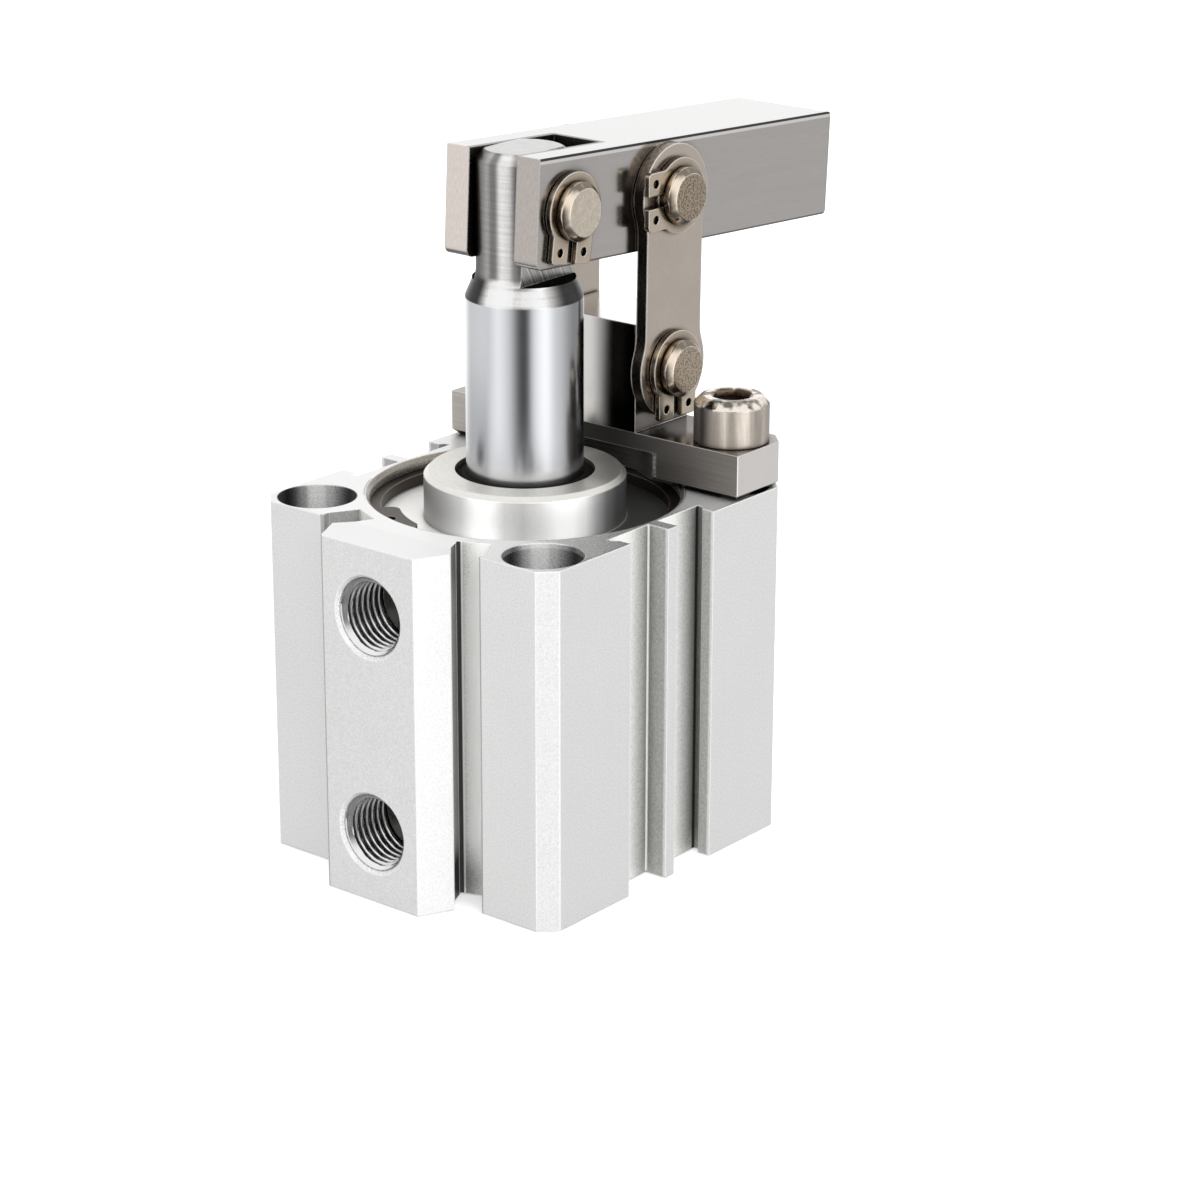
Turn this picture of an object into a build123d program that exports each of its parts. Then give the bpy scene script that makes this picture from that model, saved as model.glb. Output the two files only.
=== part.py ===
from build123d import *
import math
import os

os.makedirs("parts", exist_ok=True)

# A compact air cylinder that works a lever clamp. Lengths are in millimetres, angles in degrees.
# The rod axis is Z and the origin is where it meets the rear (bottom) face of the body.
# The ports face -Y, the clamp arm reaches out along +Y and every hinge pin lies along X.
# The model stands as clamped: rod fully out, arm almost level.

# Clearances
FIT = 0.05  # radial gap of a pin, rod or seal that runs in its hole
LOCATE = 0.05  # radial gap of a piece that is located and then held still
SLACK = 0.1  # gap on each side of a retaining ring in its groove
SIDE_GAP = 0.1  # gap beside each cheek of a hinge
SWING_GAP = 0.3  # gap left to a corner that swings past

# Body section
BORE_DIAMETER = 50.0
BODY_WALL = 7.0
BODY_HEIGHT = 62.6
CORNER_CHAMFER = 2.8
MOUTH_STEP = 1.5
MOUTH_CHAMFER = 0.7

# Sensor slots, two on each plain side
SLOT_RIB_WIDTH = 2.4
SLOT_MOUTH_WIDTH = 9.9
SLOT_DEPTH = 4.2
SLOT_LIP_DEPTH = 2.4
SLOT_UNDERCUT = 1.1
SLOT_FOOT_HEIGHT = 0.8

# Port side: a boss between two slots that lean in towards the bore
BOSS_PROJECTION = 7.9
BOSS_FRONT_WIDTH = 20.2
BOSS_SHOULDER_WIDTH = 26.0
BOSS_SHOULDER_PROJECTION = 2.0
BOSS_WAIST_WIDTH = 21.0
BOSS_WAIST_DEPTH = 1.0
PORT_SLOT_ANGLE = 24.0
PORT_SLOT_WIDTH = 6.0
PORT_SLOT_WALL = 4.3
PORT_SLOT_MOUTH = 34.8
PORT_SLOT_LIP_DEPTH = 1.8

# Ports
PORT_DIAMETER = 13.16
PORT_DEPTH = 11.0
PORT_CHAMFER = 0.7
PORT_SPREAD = 38.2
PASSAGE_DIAMETER = 5.2

# Corner holes and the two screws that hold the bracket
HOLE_EDGE = 7.0
SCREW_DIAMETER = 8.0
THREAD_GAP = 0.1
THREAD_DEPTH = 16.0
CORE_DIAMETER = 6.7
COUNTERBORE_DIAMETER = 13.4
COUNTERBORE_DEPTH = 8.6
SCREW_LENGTH = 30.0
SCREW_HEAD_DIAMETER = 13.0
SCREW_HEAD_HEIGHT = 8.0
SCREW_HEAD_CHAMFER = 1.3
SOCKET_ACROSS_FLATS = 6.0
SOCKET_DEPTH = 4.0
SCREW_HOLE_DIAMETER = 9.0

# Retaining rings of the two covers
BORE_RING_SETBACK = 2.1
BORE_RING_THICKNESS = 2.0
BORE_RING_WIDTH = 2.9
BORE_RING_BITE = 1.0
BORE_LUG_LENGTH = 3.1
BORE_LUG_ANGLE = 30.0
BORE_LUG_GAP_ANGLE = 48.0
BORE_LUG_HOLE = 2.5
BORE_RING_TURN = -80.0

# Covers, with their O-rings
FRONT_FLANGE = 4.8
REAR_FLANGE = 5.0
COLLAR_DIAMETER = 34.6
COLLAR_HEIGHT = 4.05
COLLAR_CHAMFER = 0.9
O_RING_SECTION = 1.9
O_RING_SIDE_GAP = 0.3

# Rod guide in the front cover
BUSH_WALL = 1.5
BUSH_LENGTH = 5.6
LAND = 0.8
ROD_SEAL_WALL = 3.5
ROD_SEAL_HEIGHT = 3.0
WIPER_WALL = 1.85
WIPER_SINK = 0.4

# Piston and what it carries; the shares are of the piston's height
STROKE = 20.0
BUMPER_THICKNESS = 2.1
BUMPER_INNER_DIAMETER = 28.0
BUMPER_OUTER_DIAMETER = 40.0
PISTON_RIM_SHARE = 0.075
PISTON_CHAMFER = 1.0
SEAL_SHARE = 0.15
SEAL_WALL = 3.4
MAGNET_SHARE = 0.16
MAGNET_WALL = 3.0
GUIDE_SHARE = 0.22
GUIDE_WALL = 1.6
SPIGOT_DIAMETER = 12.0
ROD_SEAT_SHARE = 0.15
NUT_ACROSS_FLATS = 18.0
NUT_SHARE = 0.3
NUT_RECESS_DIAMETER = 22.0
NUT_RECESS_SHARE = 0.36

# Piston rod
ROD_DIAMETER = 20.0
NECK_DIAMETER = 16.5
CONE_HEIGHT = 4.0
LEDGE_ABOVE_BARREL = 3.2
NECK_FILLET = 1.2
TONGUE_THICKNESS = 10.0
TONGUE_ABOVE_PIN = 9.2
TONGUE_CHAMFER = 1.5

# Linkage: heights are above the front face of the body
ROD_PIN_HEIGHT = 50.2
POST_PIN_HEIGHT = 18.8
LEVER_LENGTH = 25.25
LINK_LENGTH = 30.0
PIN_DIAMETER = 10.0
PIN_CHAMFER = 1.0
PIN_OVERHANG = 3.4

# Clamp arm, as wide as the rod
ARM_HEIGHT = 18.5
ARM_REAR = 8.2
ARM_REACH = 72.7
ARM_REAR_RADIUS = 1.5
ARM_TIP_RADIUS = 0.8
FORK_DEPTH = 13.5
OPEN_PIVOT_GAP = 1.7

# Links
LINK_THICKNESS = 2.2
LINK_WIDTH = 15.0
EYE_DIAMETER = 17.5
LINK_FILLET = 8.0

# Retaining rings of the pins
PIN_RING_THICKNESS = 1.0
PIN_RING_DIAMETER = 13.0
PIN_GROOVE_DEPTH = 0.2
PIN_LUG_REACH = 8.8
PIN_LUG_WIDTH = 3.9
PIN_LUG_GAP = 2.2
PIN_LUG_HOLE = 1.5
PIN_LUG_RADIUS = 0.9
ROD_PIN_RING_TURN = -8.0
ARM_PIN_RING_TURN = -90.0

# Pivot bracket: a plate on the rear half of the front face, with a post in the middle
BRACKET_DEPTH = 14.5
PLATE_THICKNESS = 8.1
PLATE_CHAMFER = 1.0
POST_HEIGHT = 27.2
RELIEF_DIAMETER = 44.7
RELIEF_HEIGHT = 5.2

# Widths that follow from the bore and the rod
body_side = BORE_DIAMETER + 2 * BODY_WALL
mouth_diameter = BORE_DIAMETER + 2 * MOUTH_STEP
hole_pitch = body_side - 2 * HOLE_EDGE
arm_width = ROD_DIAMETER
post_width = arm_width - SIDE_GAP

# Heights that follow from the stack of pieces
ring_space = BORE_RING_SETBACK + BORE_RING_THICKNESS + SLACK
front_flange_top = BODY_HEIGHT - ring_space
front_flange_bottom = front_flange_top - FRONT_FLANGE
rear_flange_top = ring_space + REAR_FLANGE
piston_top = front_flange_bottom - BUMPER_THICKNESS - SLACK
piston_bottom = rear_flange_top + BUMPER_THICKNESS + SLACK + STROKE
piston_height = piston_top - piston_bottom
rod_seat = piston_top - ROD_SEAT_SHARE * piston_height
nut_top = piston_bottom + NUT_RECESS_SHARE * piston_height
collar_top = BODY_HEIGHT + COLLAR_HEIGHT

# Pivots: A joins rod and arm, B joins post and links, C joins arm and links
post_y = body_side / 2 - BRACKET_DEPTH / 2
pivot_a = Vector(0, 0, BODY_HEIGHT + ROD_PIN_HEIGHT)
pivot_b = Vector(0, post_y, BODY_HEIGHT + POST_PIN_HEIGHT)
span = (pivot_b - pivot_a).length
fall = math.atan2(pivot_a.Z - pivot_b.Z, pivot_b.Y - pivot_a.Y)
corner = math.acos((LEVER_LENGTH**2 + span**2 - LINK_LENGTH**2) / (2 * LEVER_LENGTH * span))
arm_tilt = math.degrees(corner - fall)
pivot_c = pivot_a + LEVER_LENGTH * Vector(0, math.cos(corner - fall), math.sin(corner - fall))
link_tilt = math.degrees(math.atan2(pivot_b.Y - pivot_c.Y, pivot_c.Z - pivot_b.Z))

# Places along X beside the hinges
link_inner = arm_width / 2 + 1.5 * SIDE_GAP
link_outer = link_inner + LINK_THICKNESS


def upright(radius, bottom, top, x=0.0, y=0.0):
    """Cylinder that stands between two heights."""
    column = Cylinder(radius, top - bottom, align=(Align.CENTER, Align.CENTER, Align.MIN))
    return Pos(x, y, bottom) * column


def polygon(points):
    """Flat face inside a closed row of straight edges."""
    return make_face(Polyline(*points, close=True))


def turned(points):
    """Solid turned about Z from a closed outline of (radius, height) points."""
    return revolve(polygon([(radius, 0, height) for radius, height in points]), Axis.Z)


def ring(inner, outer, bottom, top):
    """Plain ring about Z."""
    return turned([(inner, bottom), (outer, bottom), (outer, top), (inner, top)])


def across(shape, pivot):
    """Turns what is drawn in the XY plane to face +X, with its origin on a pivot."""
    return Pos(0, pivot.Y, pivot.Z) * (Plane.YZ * shape)


def wedge(start, end, reach):
    """Flat sector of less than half a turn, for cutting rings."""
    edge = [(reach * math.cos(math.radians(a)), reach * math.sin(math.radians(a))) for a in (start, end)]
    return polygon([(0, 0), *edge])


def sensor_slots():
    """Outline of the two slots on the +X side: plain wall at the rib, lip and foot at the other wall."""
    side = body_side / 2
    floor = side - SLOT_DEPTH
    rib = SLOT_RIB_WIDTH / 2
    lip = rib + SLOT_MOUTH_WIDTH
    foot = lip + SLOT_UNDERCUT
    outside = side + SLOT_DEPTH
    slot = polygon(
        [
            (outside, rib),
            (floor, rib),
            (floor, foot),
            (floor + SLOT_FOOT_HEIGHT, foot),
            (side - SLOT_LIP_DEPTH, lip),
            (outside, lip),
        ]
    )
    return slot + mirror(slot, Plane.XZ)


def port_side():
    """Outlines of the port side: what is cut away between the corners, and the boss that stands in it."""
    side = body_side / 2
    turn = math.radians(PORT_SLOT_ANGLE)
    out = Vector(math.sin(turn), -math.cos(turn))
    along = Vector(math.cos(turn), math.sin(turn))
    middle = out * (BORE_DIAMETER / 2 + PORT_SLOT_WALL)
    root = middle - along * (PORT_SLOT_WIDTH / 2)
    foot = middle + along * (PORT_SLOT_WIDTH / 2)
    lip = PORT_SLOT_MOUTH / 2
    mouth_edge = [(lip, -side + PORT_SLOT_LIP_DEPTH), (lip, -side - SLOT_DEPTH)]
    right = [(root.X, root.Y), (foot.X, foot.Y), *mouth_edge]
    recess = polygon([*right, *[(-x, y) for x, y in reversed(right)]])
    right = [
        (root.X, root.Y + BOSS_WAIST_DEPTH),
        (root.X, root.Y),
        (BOSS_WAIST_WIDTH / 2, -side + BOSS_WAIST_DEPTH),
        (BOSS_SHOULDER_WIDTH / 2, -side - BOSS_SHOULDER_PROJECTION),
        (BOSS_FRONT_WIDTH / 2, -side - BOSS_PROJECTION),
    ]
    boss = polygon([*right, *[(-x, y) for x, y in reversed(right)]])
    return recess, boss


def mouth(depth):
    """What is turned out of one end of the bore, from z = 0 up: chamfered rim, mouth and ring groove."""
    wall = mouth_diameter / 2
    groove = wall + BORE_RING_BITE + LOCATE
    low = BORE_RING_SETBACK - SLACK
    high = ring_space
    rim = [(0, -MOUTH_CHAMFER), (wall + 2 * MOUTH_CHAMFER, -MOUTH_CHAMFER), (wall, MOUTH_CHAMFER)]
    ring_groove = [(wall, low), (groove, low), (groove, high), (wall, high)]
    return turned([*rim, *ring_groove, (wall, depth), (0, depth)])


def port(height):
    """One port, bored from the face of the boss, with its passage into the bore."""
    face = body_side / 2 + BOSS_PROJECTION
    wall = PORT_DIAMETER / 2
    passage = PASSAGE_DIAMETER / 2
    tool = turned(
        [
            (0, -PORT_CHAMFER),
            (wall + 2 * PORT_CHAMFER, -PORT_CHAMFER),
            (wall, PORT_CHAMFER),
            (wall, PORT_DEPTH),
            (passage, PORT_DEPTH + wall - passage),
            (passage, face),
            (0, face),
        ]
    )
    return Pos(0, -face, height) * Rot(-90, 0, 0) * tool


def cylinder_body():
    """Extruded aluminium section with the bore, ports and corner holes cut in it."""
    section = chamfer(Rectangle(body_side, body_side).vertices(), CORNER_CHAMFER)
    for turn in (0, 90, 180):
        section -= Rot(0, 0, turn) * sensor_slots()
    recess, boss = port_side()
    section = section - recess + boss
    body = extrude(section, BODY_HEIGHT)
    body -= upright(BORE_DIAMETER / 2, 0, BODY_HEIGHT)
    body -= mouth(rear_flange_top)
    body -= Pos(0, 0, BODY_HEIGHT) * Rot(180, 0, 0) * mouth(BODY_HEIGHT - front_flange_bottom)
    for side in (-1, 1):
        body -= port(BODY_HEIGHT / 2 + side * PORT_SPREAD / 2)
    thread = SCREW_DIAMETER / 2 + THREAD_GAP
    deep = COUNTERBORE_DEPTH + THREAD_DEPTH
    for corner_place in GridLocations(hole_pitch, hole_pitch, 2, 2):
        hole = upright(CORE_DIAMETER / 2, 0, BODY_HEIGHT)
        hole += upright(thread, 0, deep) + upright(thread, BODY_HEIGHT - deep, BODY_HEIGHT)
        wide = COUNTERBORE_DIAMETER / 2
        hole += upright(wide, 0, COUNTERBORE_DEPTH)
        hole += upright(wide, BODY_HEIGHT - COUNTERBORE_DEPTH, BODY_HEIGHT)
        body -= corner_place * hole
    return body


def o_ring_floor():
    """Radius of the bottom of the O-ring grooves in the covers."""
    return mouth_diameter / 2 - O_RING_SECTION - 2 * LOCATE


def rim_groove(middle):
    """Three-sided groove for an O-ring, as outline points from the bottom up."""
    rim = mouth_diameter / 2 - LOCATE
    half = O_RING_SECTION / 2 + O_RING_SIDE_GAP
    floor = o_ring_floor()
    return [(rim, middle - half), (floor, middle - half), (floor, middle + half), (rim, middle + half)]


def o_ring(middle):
    """O-ring in the groove of a cover."""
    radius = O_RING_SECTION / 2
    return Pos(0, 0, middle) * Torus(o_ring_floor() + LOCATE + radius, radius)


def front_cover():
    """Flange in the mouth of the bore, with the collar that guides the rod."""
    rod = ROD_DIAMETER / 2
    rim = mouth_diameter / 2 - LOCATE
    loose = rod + SWING_GAP
    bush = rod + FIT + BUSH_WALL + LOCATE
    seal = rod + FIT + ROD_SEAL_WALL + LOCATE
    wiper = rod + FIT + WIPER_WALL + LOCATE
    bush_top = front_flange_bottom + BUSH_LENGTH + SLACK
    seal_bottom = bush_top + LAND
    seal_top = seal_bottom + ROD_SEAL_HEIGHT + 2 * SLACK
    wiper_bottom = seal_top + LAND
    collar = COLLAR_DIAMETER / 2
    return turned(
        [
            (bush, front_flange_bottom),
            (rim, front_flange_bottom),
            *rim_groove((front_flange_bottom + front_flange_top) / 2),
            (rim, front_flange_top),
            (collar, front_flange_top),
            (collar, collar_top - COLLAR_CHAMFER),
            (collar - COLLAR_CHAMFER, collar_top),
            (wiper, collar_top),
            (wiper, wiper_bottom),
            (loose, wiper_bottom),
            (loose, seal_top),
            (seal, seal_top),
            (seal, seal_bottom),
            (loose, seal_bottom),
            (loose, bush_top),
            (bush, bush_top),
        ]
    )


def rod_bush():
    """Plain bearing that guides the rod."""
    inner = ROD_DIAMETER / 2 + FIT
    return ring(inner, inner + BUSH_WALL, front_flange_bottom, front_flange_bottom + BUSH_LENGTH)


def rod_seal():
    """Lip seal in the cover, open towards the pressure."""
    inner = ROD_DIAMETER / 2 + FIT
    outer = inner + ROD_SEAL_WALL
    low = front_flange_bottom + BUSH_LENGTH + SLACK + LAND + SLACK
    high = low + ROD_SEAL_HEIGHT
    middle = (inner + outer) / 2
    lip = ROD_SEAL_WALL / 4
    return turned(
        [
            (inner, low),
            (inner + lip, low),
            (middle, (low + high) / 2),
            (outer - lip, low),
            (outer, low),
            (outer, high),
            (inner, high),
        ]
    )


def rod_wiper():
    """Wiper in the top of the collar, with a lip that leans on the rod."""
    inner = ROD_DIAMETER / 2 + FIT
    outer = inner + WIPER_WALL
    low = front_flange_bottom + BUSH_LENGTH + ROD_SEAL_HEIGHT + 2 * LAND + 4 * SLACK
    high = collar_top - WIPER_SINK
    lip = WIPER_WALL / 3
    return turned(
        [
            (inner, low),
            (outer, low),
            (outer, high - lip),
            (inner + 2 * lip, high - lip),
            (inner + lip, high),
            (inner, high),
        ]
    )


def rear_cover():
    """Plain disc that closes the rear end."""
    rim = mouth_diameter / 2 - LOCATE
    return turned(
        [
            (0, ring_space),
            (rim, ring_space),
            *rim_groove((ring_space + rear_flange_top) / 2),
            (rim, rear_flange_top),
            (0, rear_flange_top),
        ]
    )


def bore_ring(bottom):
    """Internal retaining ring, with its two lugs towards the ports."""
    outer = mouth_diameter / 2 + BORE_RING_BITE
    inner = outer - BORE_RING_WIDTH
    lug = inner - BORE_LUG_LENGTH
    half_gap = BORE_LUG_GAP_ANGLE / 2
    lug_end = half_gap + BORE_LUG_ANGLE
    flat = Circle(outer) - Circle(inner)
    flat += (Circle(outer) - Circle(lug)) & wedge(-lug_end, lug_end, 2 * outer)
    flat -= wedge(-half_gap, half_gap, 2 * outer)
    inner_corners = flat.vertices().filter_by(lambda v: abs(v.X**2 + v.Y**2 - lug**2) < 1)
    flat = fillet(inner_corners, BORE_LUG_LENGTH / 2)
    hole_radius = (lug + outer) / 2
    for side in (-1, 1):
        turn = side * (half_gap + BORE_LUG_ANGLE / 2)
        flat -= Rot(0, 0, turn) * Pos(hole_radius, 0) * Circle(BORE_LUG_HOLE / 2)
    return Pos(0, 0, bottom) * extrude(Rot(0, 0, BORE_RING_TURN) * flat, BORE_RING_THICKNESS)


def bumper(bottom):
    """Rubber ring on the inner face of a cover."""
    return ring(BUMPER_INNER_DIAMETER / 2, BUMPER_OUTER_DIAMETER / 2, bottom, bottom + BUMPER_THICKNESS)


def piston_grooves():
    """Bottom height, height and wall of each ring that the piston carries, from the bottom up."""
    seal = (SEAL_SHARE, SEAL_WALL)
    rings = [seal, (MAGNET_SHARE, MAGNET_WALL), (GUIDE_SHARE, GUIDE_WALL), seal]
    free = 1 - 2 * PISTON_RIM_SHARE - sum(share for share, _ in rings)
    land = free / (len(rings) - 1)
    places = []
    low = PISTON_RIM_SHARE
    for share, wall in rings:
        places.append((piston_bottom + low * piston_height, share * piston_height, wall))
        low += share + land
    return places


def piston():
    """Piston with grooves for its rings, a seat for the rod on top and a recess for the nut below."""
    rim = BORE_DIAMETER / 2 - SWING_GAP
    outline = [(0, piston_bottom), (rim - PISTON_CHAMFER, piston_bottom)]
    outline += [(rim, piston_bottom + PISTON_CHAMFER)]
    for low, height, wall in piston_grooves():
        floor = BORE_DIAMETER / 2 - FIT - wall - LOCATE
        outline += [(rim, low - SLACK), (floor, low - SLACK)]
        outline += [(floor, low + height + SLACK), (rim, low + height + SLACK)]
    outline += [(rim, piston_top - PISTON_CHAMFER), (rim - PISTON_CHAMFER, piston_top), (0, piston_top)]
    body = turned(outline)
    body -= upright(SPIGOT_DIAMETER / 2 + LOCATE, piston_bottom, piston_top)
    body -= upright(ROD_DIAMETER / 2 + LOCATE, rod_seat, piston_top)
    body -= upright(NUT_RECESS_DIAMETER / 2, piston_bottom, nut_top)
    return body


def piston_ring(index):
    """One of the rings of the piston, from its groove to the bore."""
    low, height, wall = piston_grooves()[index]
    outer = BORE_DIAMETER / 2 - FIT
    return ring(outer - wall, outer, low, low + height)


def piston_nut():
    """Thin nut that clamps the piston on the spigot of the rod."""
    thickness = NUT_SHARE * piston_height
    hexagon = RegularPolygon(NUT_ACROSS_FLATS / 2, 6, major_radius=False)
    flat = hexagon - Circle(SPIGOT_DIAMETER / 2 + LOCATE)
    return Pos(0, 0, nut_top - thickness) * extrude(flat, thickness)


def ledge_height():
    """Height of the ledges that the tongue leaves, just clear of the fork's swinging corner."""
    return pivot_a.Z - math.hypot(ARM_REAR, ARM_HEIGHT / 2) - SWING_GAP


def piston_rod():
    """Rod with a spigot below, and a cone, neck and flat tongue above."""
    rod = ROD_DIAMETER / 2
    neck = NECK_DIAMETER / 2
    spigot = SPIGOT_DIAMETER / 2
    spigot_end = nut_top - NUT_SHARE * piston_height - LAND
    barrel_top = ledge_height() - LEDGE_ABOVE_BARREL
    cone_top = barrel_top + CONE_HEIGHT
    tip = pivot_a.Z + TONGUE_ABOVE_PIN
    body = turned(
        [
            (0, spigot_end),
            (spigot, spigot_end),
            (spigot, rod_seat),
            (rod, rod_seat),
            (rod, barrel_top),
            (neck, cone_top),
            (neck, tip - TONGUE_CHAMFER),
            (neck - TONGUE_CHAMFER, tip),
            (0, tip),
        ]
    )
    circles = body.edges().filter_by(GeomType.CIRCLE)
    waist = circles.filter_by(lambda e: abs(e.center().Z - cone_top) < SLACK)
    body = fillet(waist, NECK_FILLET)
    half = TONGUE_THICKNESS / 2
    for side in (-1, 1):
        low = ledge_height()
        cheek = Box(rod, ROD_DIAMETER, tip - low, align=(Align.MIN, Align.CENTER, Align.MIN))
        body -= Rot(0, 0, 90 - 90 * side) * Pos(half, 0, low) * cheek
    body -= pin_hole(pivot_a, rod)
    return body


def pin_hole(pivot, half_length):
    """Hole for a hinge pin, along X."""
    return across(upright(PIN_DIAMETER / 2 + FIT, -half_length, half_length), pivot)


def hinge_pin(pivot, cheek):
    """Pin along X with a groove for a retaining ring just outside each cheek."""
    shaft = PIN_DIAMETER / 2
    groove = shaft - PIN_GROOVE_DEPTH
    low = cheek + SLACK
    high = low + PIN_RING_THICKNESS + 2 * SLACK
    end = cheek + PIN_OVERHANG
    upper = [(shaft, low), (groove, low), (groove, high), (shaft, high), (shaft, end - PIN_CHAMFER)]
    upper += [(shaft - PIN_CHAMFER, end), (0, end)]
    lower = [(radius, -place) for radius, place in reversed(upper)]
    return across(turned([*upper, *lower]), pivot)


def pin_rings(pivot, cheek, turn):
    """The two retaining rings of a pin; their lugs point down, turned by an angle about +X."""
    bore = PIN_DIAMETER / 2 - PIN_GROOVE_DEPTH + LOCATE
    lug_place = (PIN_LUG_GAP + PIN_LUG_WIDTH) / 2
    lugs = Rectangle(PIN_LUG_GAP + 2 * PIN_LUG_WIDTH, PIN_LUG_REACH, align=(Align.CENTER, Align.MAX))
    lugs = fillet(lugs.vertices().sort_by(Axis.Y)[:2], PIN_LUG_RADIUS)
    flat = Circle(PIN_RING_DIAMETER / 2) + lugs
    flat -= Circle(bore)
    flat -= Rectangle(PIN_LUG_GAP, 2 * PIN_LUG_REACH, align=(Align.CENTER, Align.MAX))
    for side in (-1, 1):
        hole_depth = PIN_LUG_REACH - PIN_LUG_WIDTH / 2
        flat -= Pos(side * lug_place, -hole_depth) * Circle(PIN_LUG_HOLE / 2)
    flat = Rot(0, 0, turn) * flat
    low = cheek + 2 * SLACK
    rings = Pos(0, 0, low) * extrude(flat, PIN_RING_THICKNESS)
    rings += Pos(0, 0, -low - PIN_RING_THICKNESS) * extrude(flat, PIN_RING_THICKNESS)
    return across(rings, pivot)


def clamp_arm():
    """Square bar with a fork at the rod end; drawn level from pivot A, then tilted as it rests."""
    length = ARM_REAR + ARM_REACH
    ahead = (Align.CENTER, Align.MIN, Align.CENTER)
    behind = (Align.CENTER, Align.MAX, Align.CENTER)
    bar = Pos(0, -ARM_REAR, 0) * Box(arm_width, length, ARM_HEIGHT, align=ahead)
    corners = bar.edges().filter_by(Axis.X).sort_by(Axis.Y)
    bar = fillet(corners[2:], ARM_TIP_RADIUS)
    rear_low = bar.edges().filter_by(Axis.X).sort_by(Axis.Y)[:2].sort_by(Axis.Z)[:1]
    bar = fillet(rear_low, ARM_REAR_RADIUS)
    slot_length = ARM_REAR + FORK_DEPTH
    slot = Box(TONGUE_THICKNESS + 2 * SIDE_GAP, slot_length, ARM_HEIGHT, align=behind)
    bar -= Pos(0, FORK_DEPTH, 0) * slot
    bar -= pin_hole(Vector(0, 0, 0), arm_width)
    open_hole = upright(PIN_DIAMETER / 2 + OPEN_PIVOT_GAP, -arm_width, arm_width)
    bar -= across(open_hole, Vector(0, LEVER_LENGTH, 0))
    return Pos(0, 0, pivot_a.Z) * Rot(arm_tilt, 0, 0) * bar


def link_plate(side):
    """Flat link with a round eye at each end; side is 1 for +X and -1 for -X."""
    strip = Rectangle(LINK_WIDTH, LINK_LENGTH, align=(Align.CENTER, Align.MIN))
    eyes = Circle(EYE_DIAMETER / 2) + Pos(0, LINK_LENGTH) * Circle(EYE_DIAMETER / 2)
    flat = strip + eyes
    waist = flat.vertices().filter_by(lambda v: abs(abs(v.X) - LINK_WIDTH / 2) < SLACK)
    flat = fillet(waist, LINK_FILLET)
    flat -= Circle(PIN_DIAMETER / 2 + FIT)
    flat -= Pos(0, LINK_LENGTH) * Circle(PIN_DIAMETER / 2 + FIT)
    low = link_inner if side > 0 else -link_outer
    plate = Pos(0, 0, low) * extrude(flat, LINK_THICKNESS)
    plate = Rot(link_tilt, 0, 0) * (Plane.YZ * plate)
    return Pos(0, pivot_b.Y, pivot_b.Z) * plate


def pivot_bracket():
    """Plate and post in one piece, screwed to the front face behind the rod."""
    back = body_side / 2
    front = back - BRACKET_DEPTH
    cut = back - CORNER_CHAMFER
    right = [(back, front), (back, cut), (cut, back)]
    left = [(-x, y) for x, y in reversed(right)]
    plate = extrude(polygon([*right, *left]), PLATE_THICKNESS)
    plate = chamfer(plate.faces().sort_by(Axis.Z)[0].edges(), PLATE_CHAMFER)
    standing = (Align.CENTER, Align.MAX, Align.MIN)
    post = Box(post_width, BRACKET_DEPTH, POST_HEIGHT - PLATE_CHAMFER, align=standing)
    bracket = Pos(0, 0, BODY_HEIGHT) * (plate + Pos(0, back, PLATE_CHAMFER) * post)
    bracket -= upright(RELIEF_DIAMETER / 2, BODY_HEIGHT, BODY_HEIGHT + RELIEF_HEIGHT)
    hole = upright(SCREW_HOLE_DIAMETER / 2, BODY_HEIGHT, BODY_HEIGHT + PLATE_THICKNESS)
    place = hole_pitch / 2
    bracket -= Pos(place, place, 0) * hole
    bracket -= Pos(-place, place, 0) * hole
    bracket -= pin_hole(pivot_b, post_width)
    return bracket


def bracket_screws():
    """The two socket head screws of the bracket."""
    seat = BODY_HEIGHT + PLATE_THICKNESS
    top = seat + SCREW_HEAD_HEIGHT
    head = SCREW_HEAD_DIAMETER / 2
    shank = SCREW_DIAMETER / 2
    screw = turned(
        [
            (0, seat - SCREW_LENGTH),
            (shank - THREAD_GAP, seat - SCREW_LENGTH),
            (shank, seat - SCREW_LENGTH + LAND),
            (shank, seat),
            (head, seat),
            (head, top - SCREW_HEAD_CHAMFER),
            (head - SCREW_HEAD_CHAMFER, top),
            (0, top),
        ]
    )
    socket = RegularPolygon(SOCKET_ACROSS_FLATS / 2, 6, major_radius=False)
    screw -= Pos(0, 0, top - SOCKET_DEPTH) * extrude(socket, SOCKET_DEPTH)
    place = hole_pitch / 2
    return Pos(place, place, 0) * screw + Pos(-place, place, 0) * screw


front_ring_bottom = front_flange_top + SLACK
arm_cheek = arm_width / 2

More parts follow.
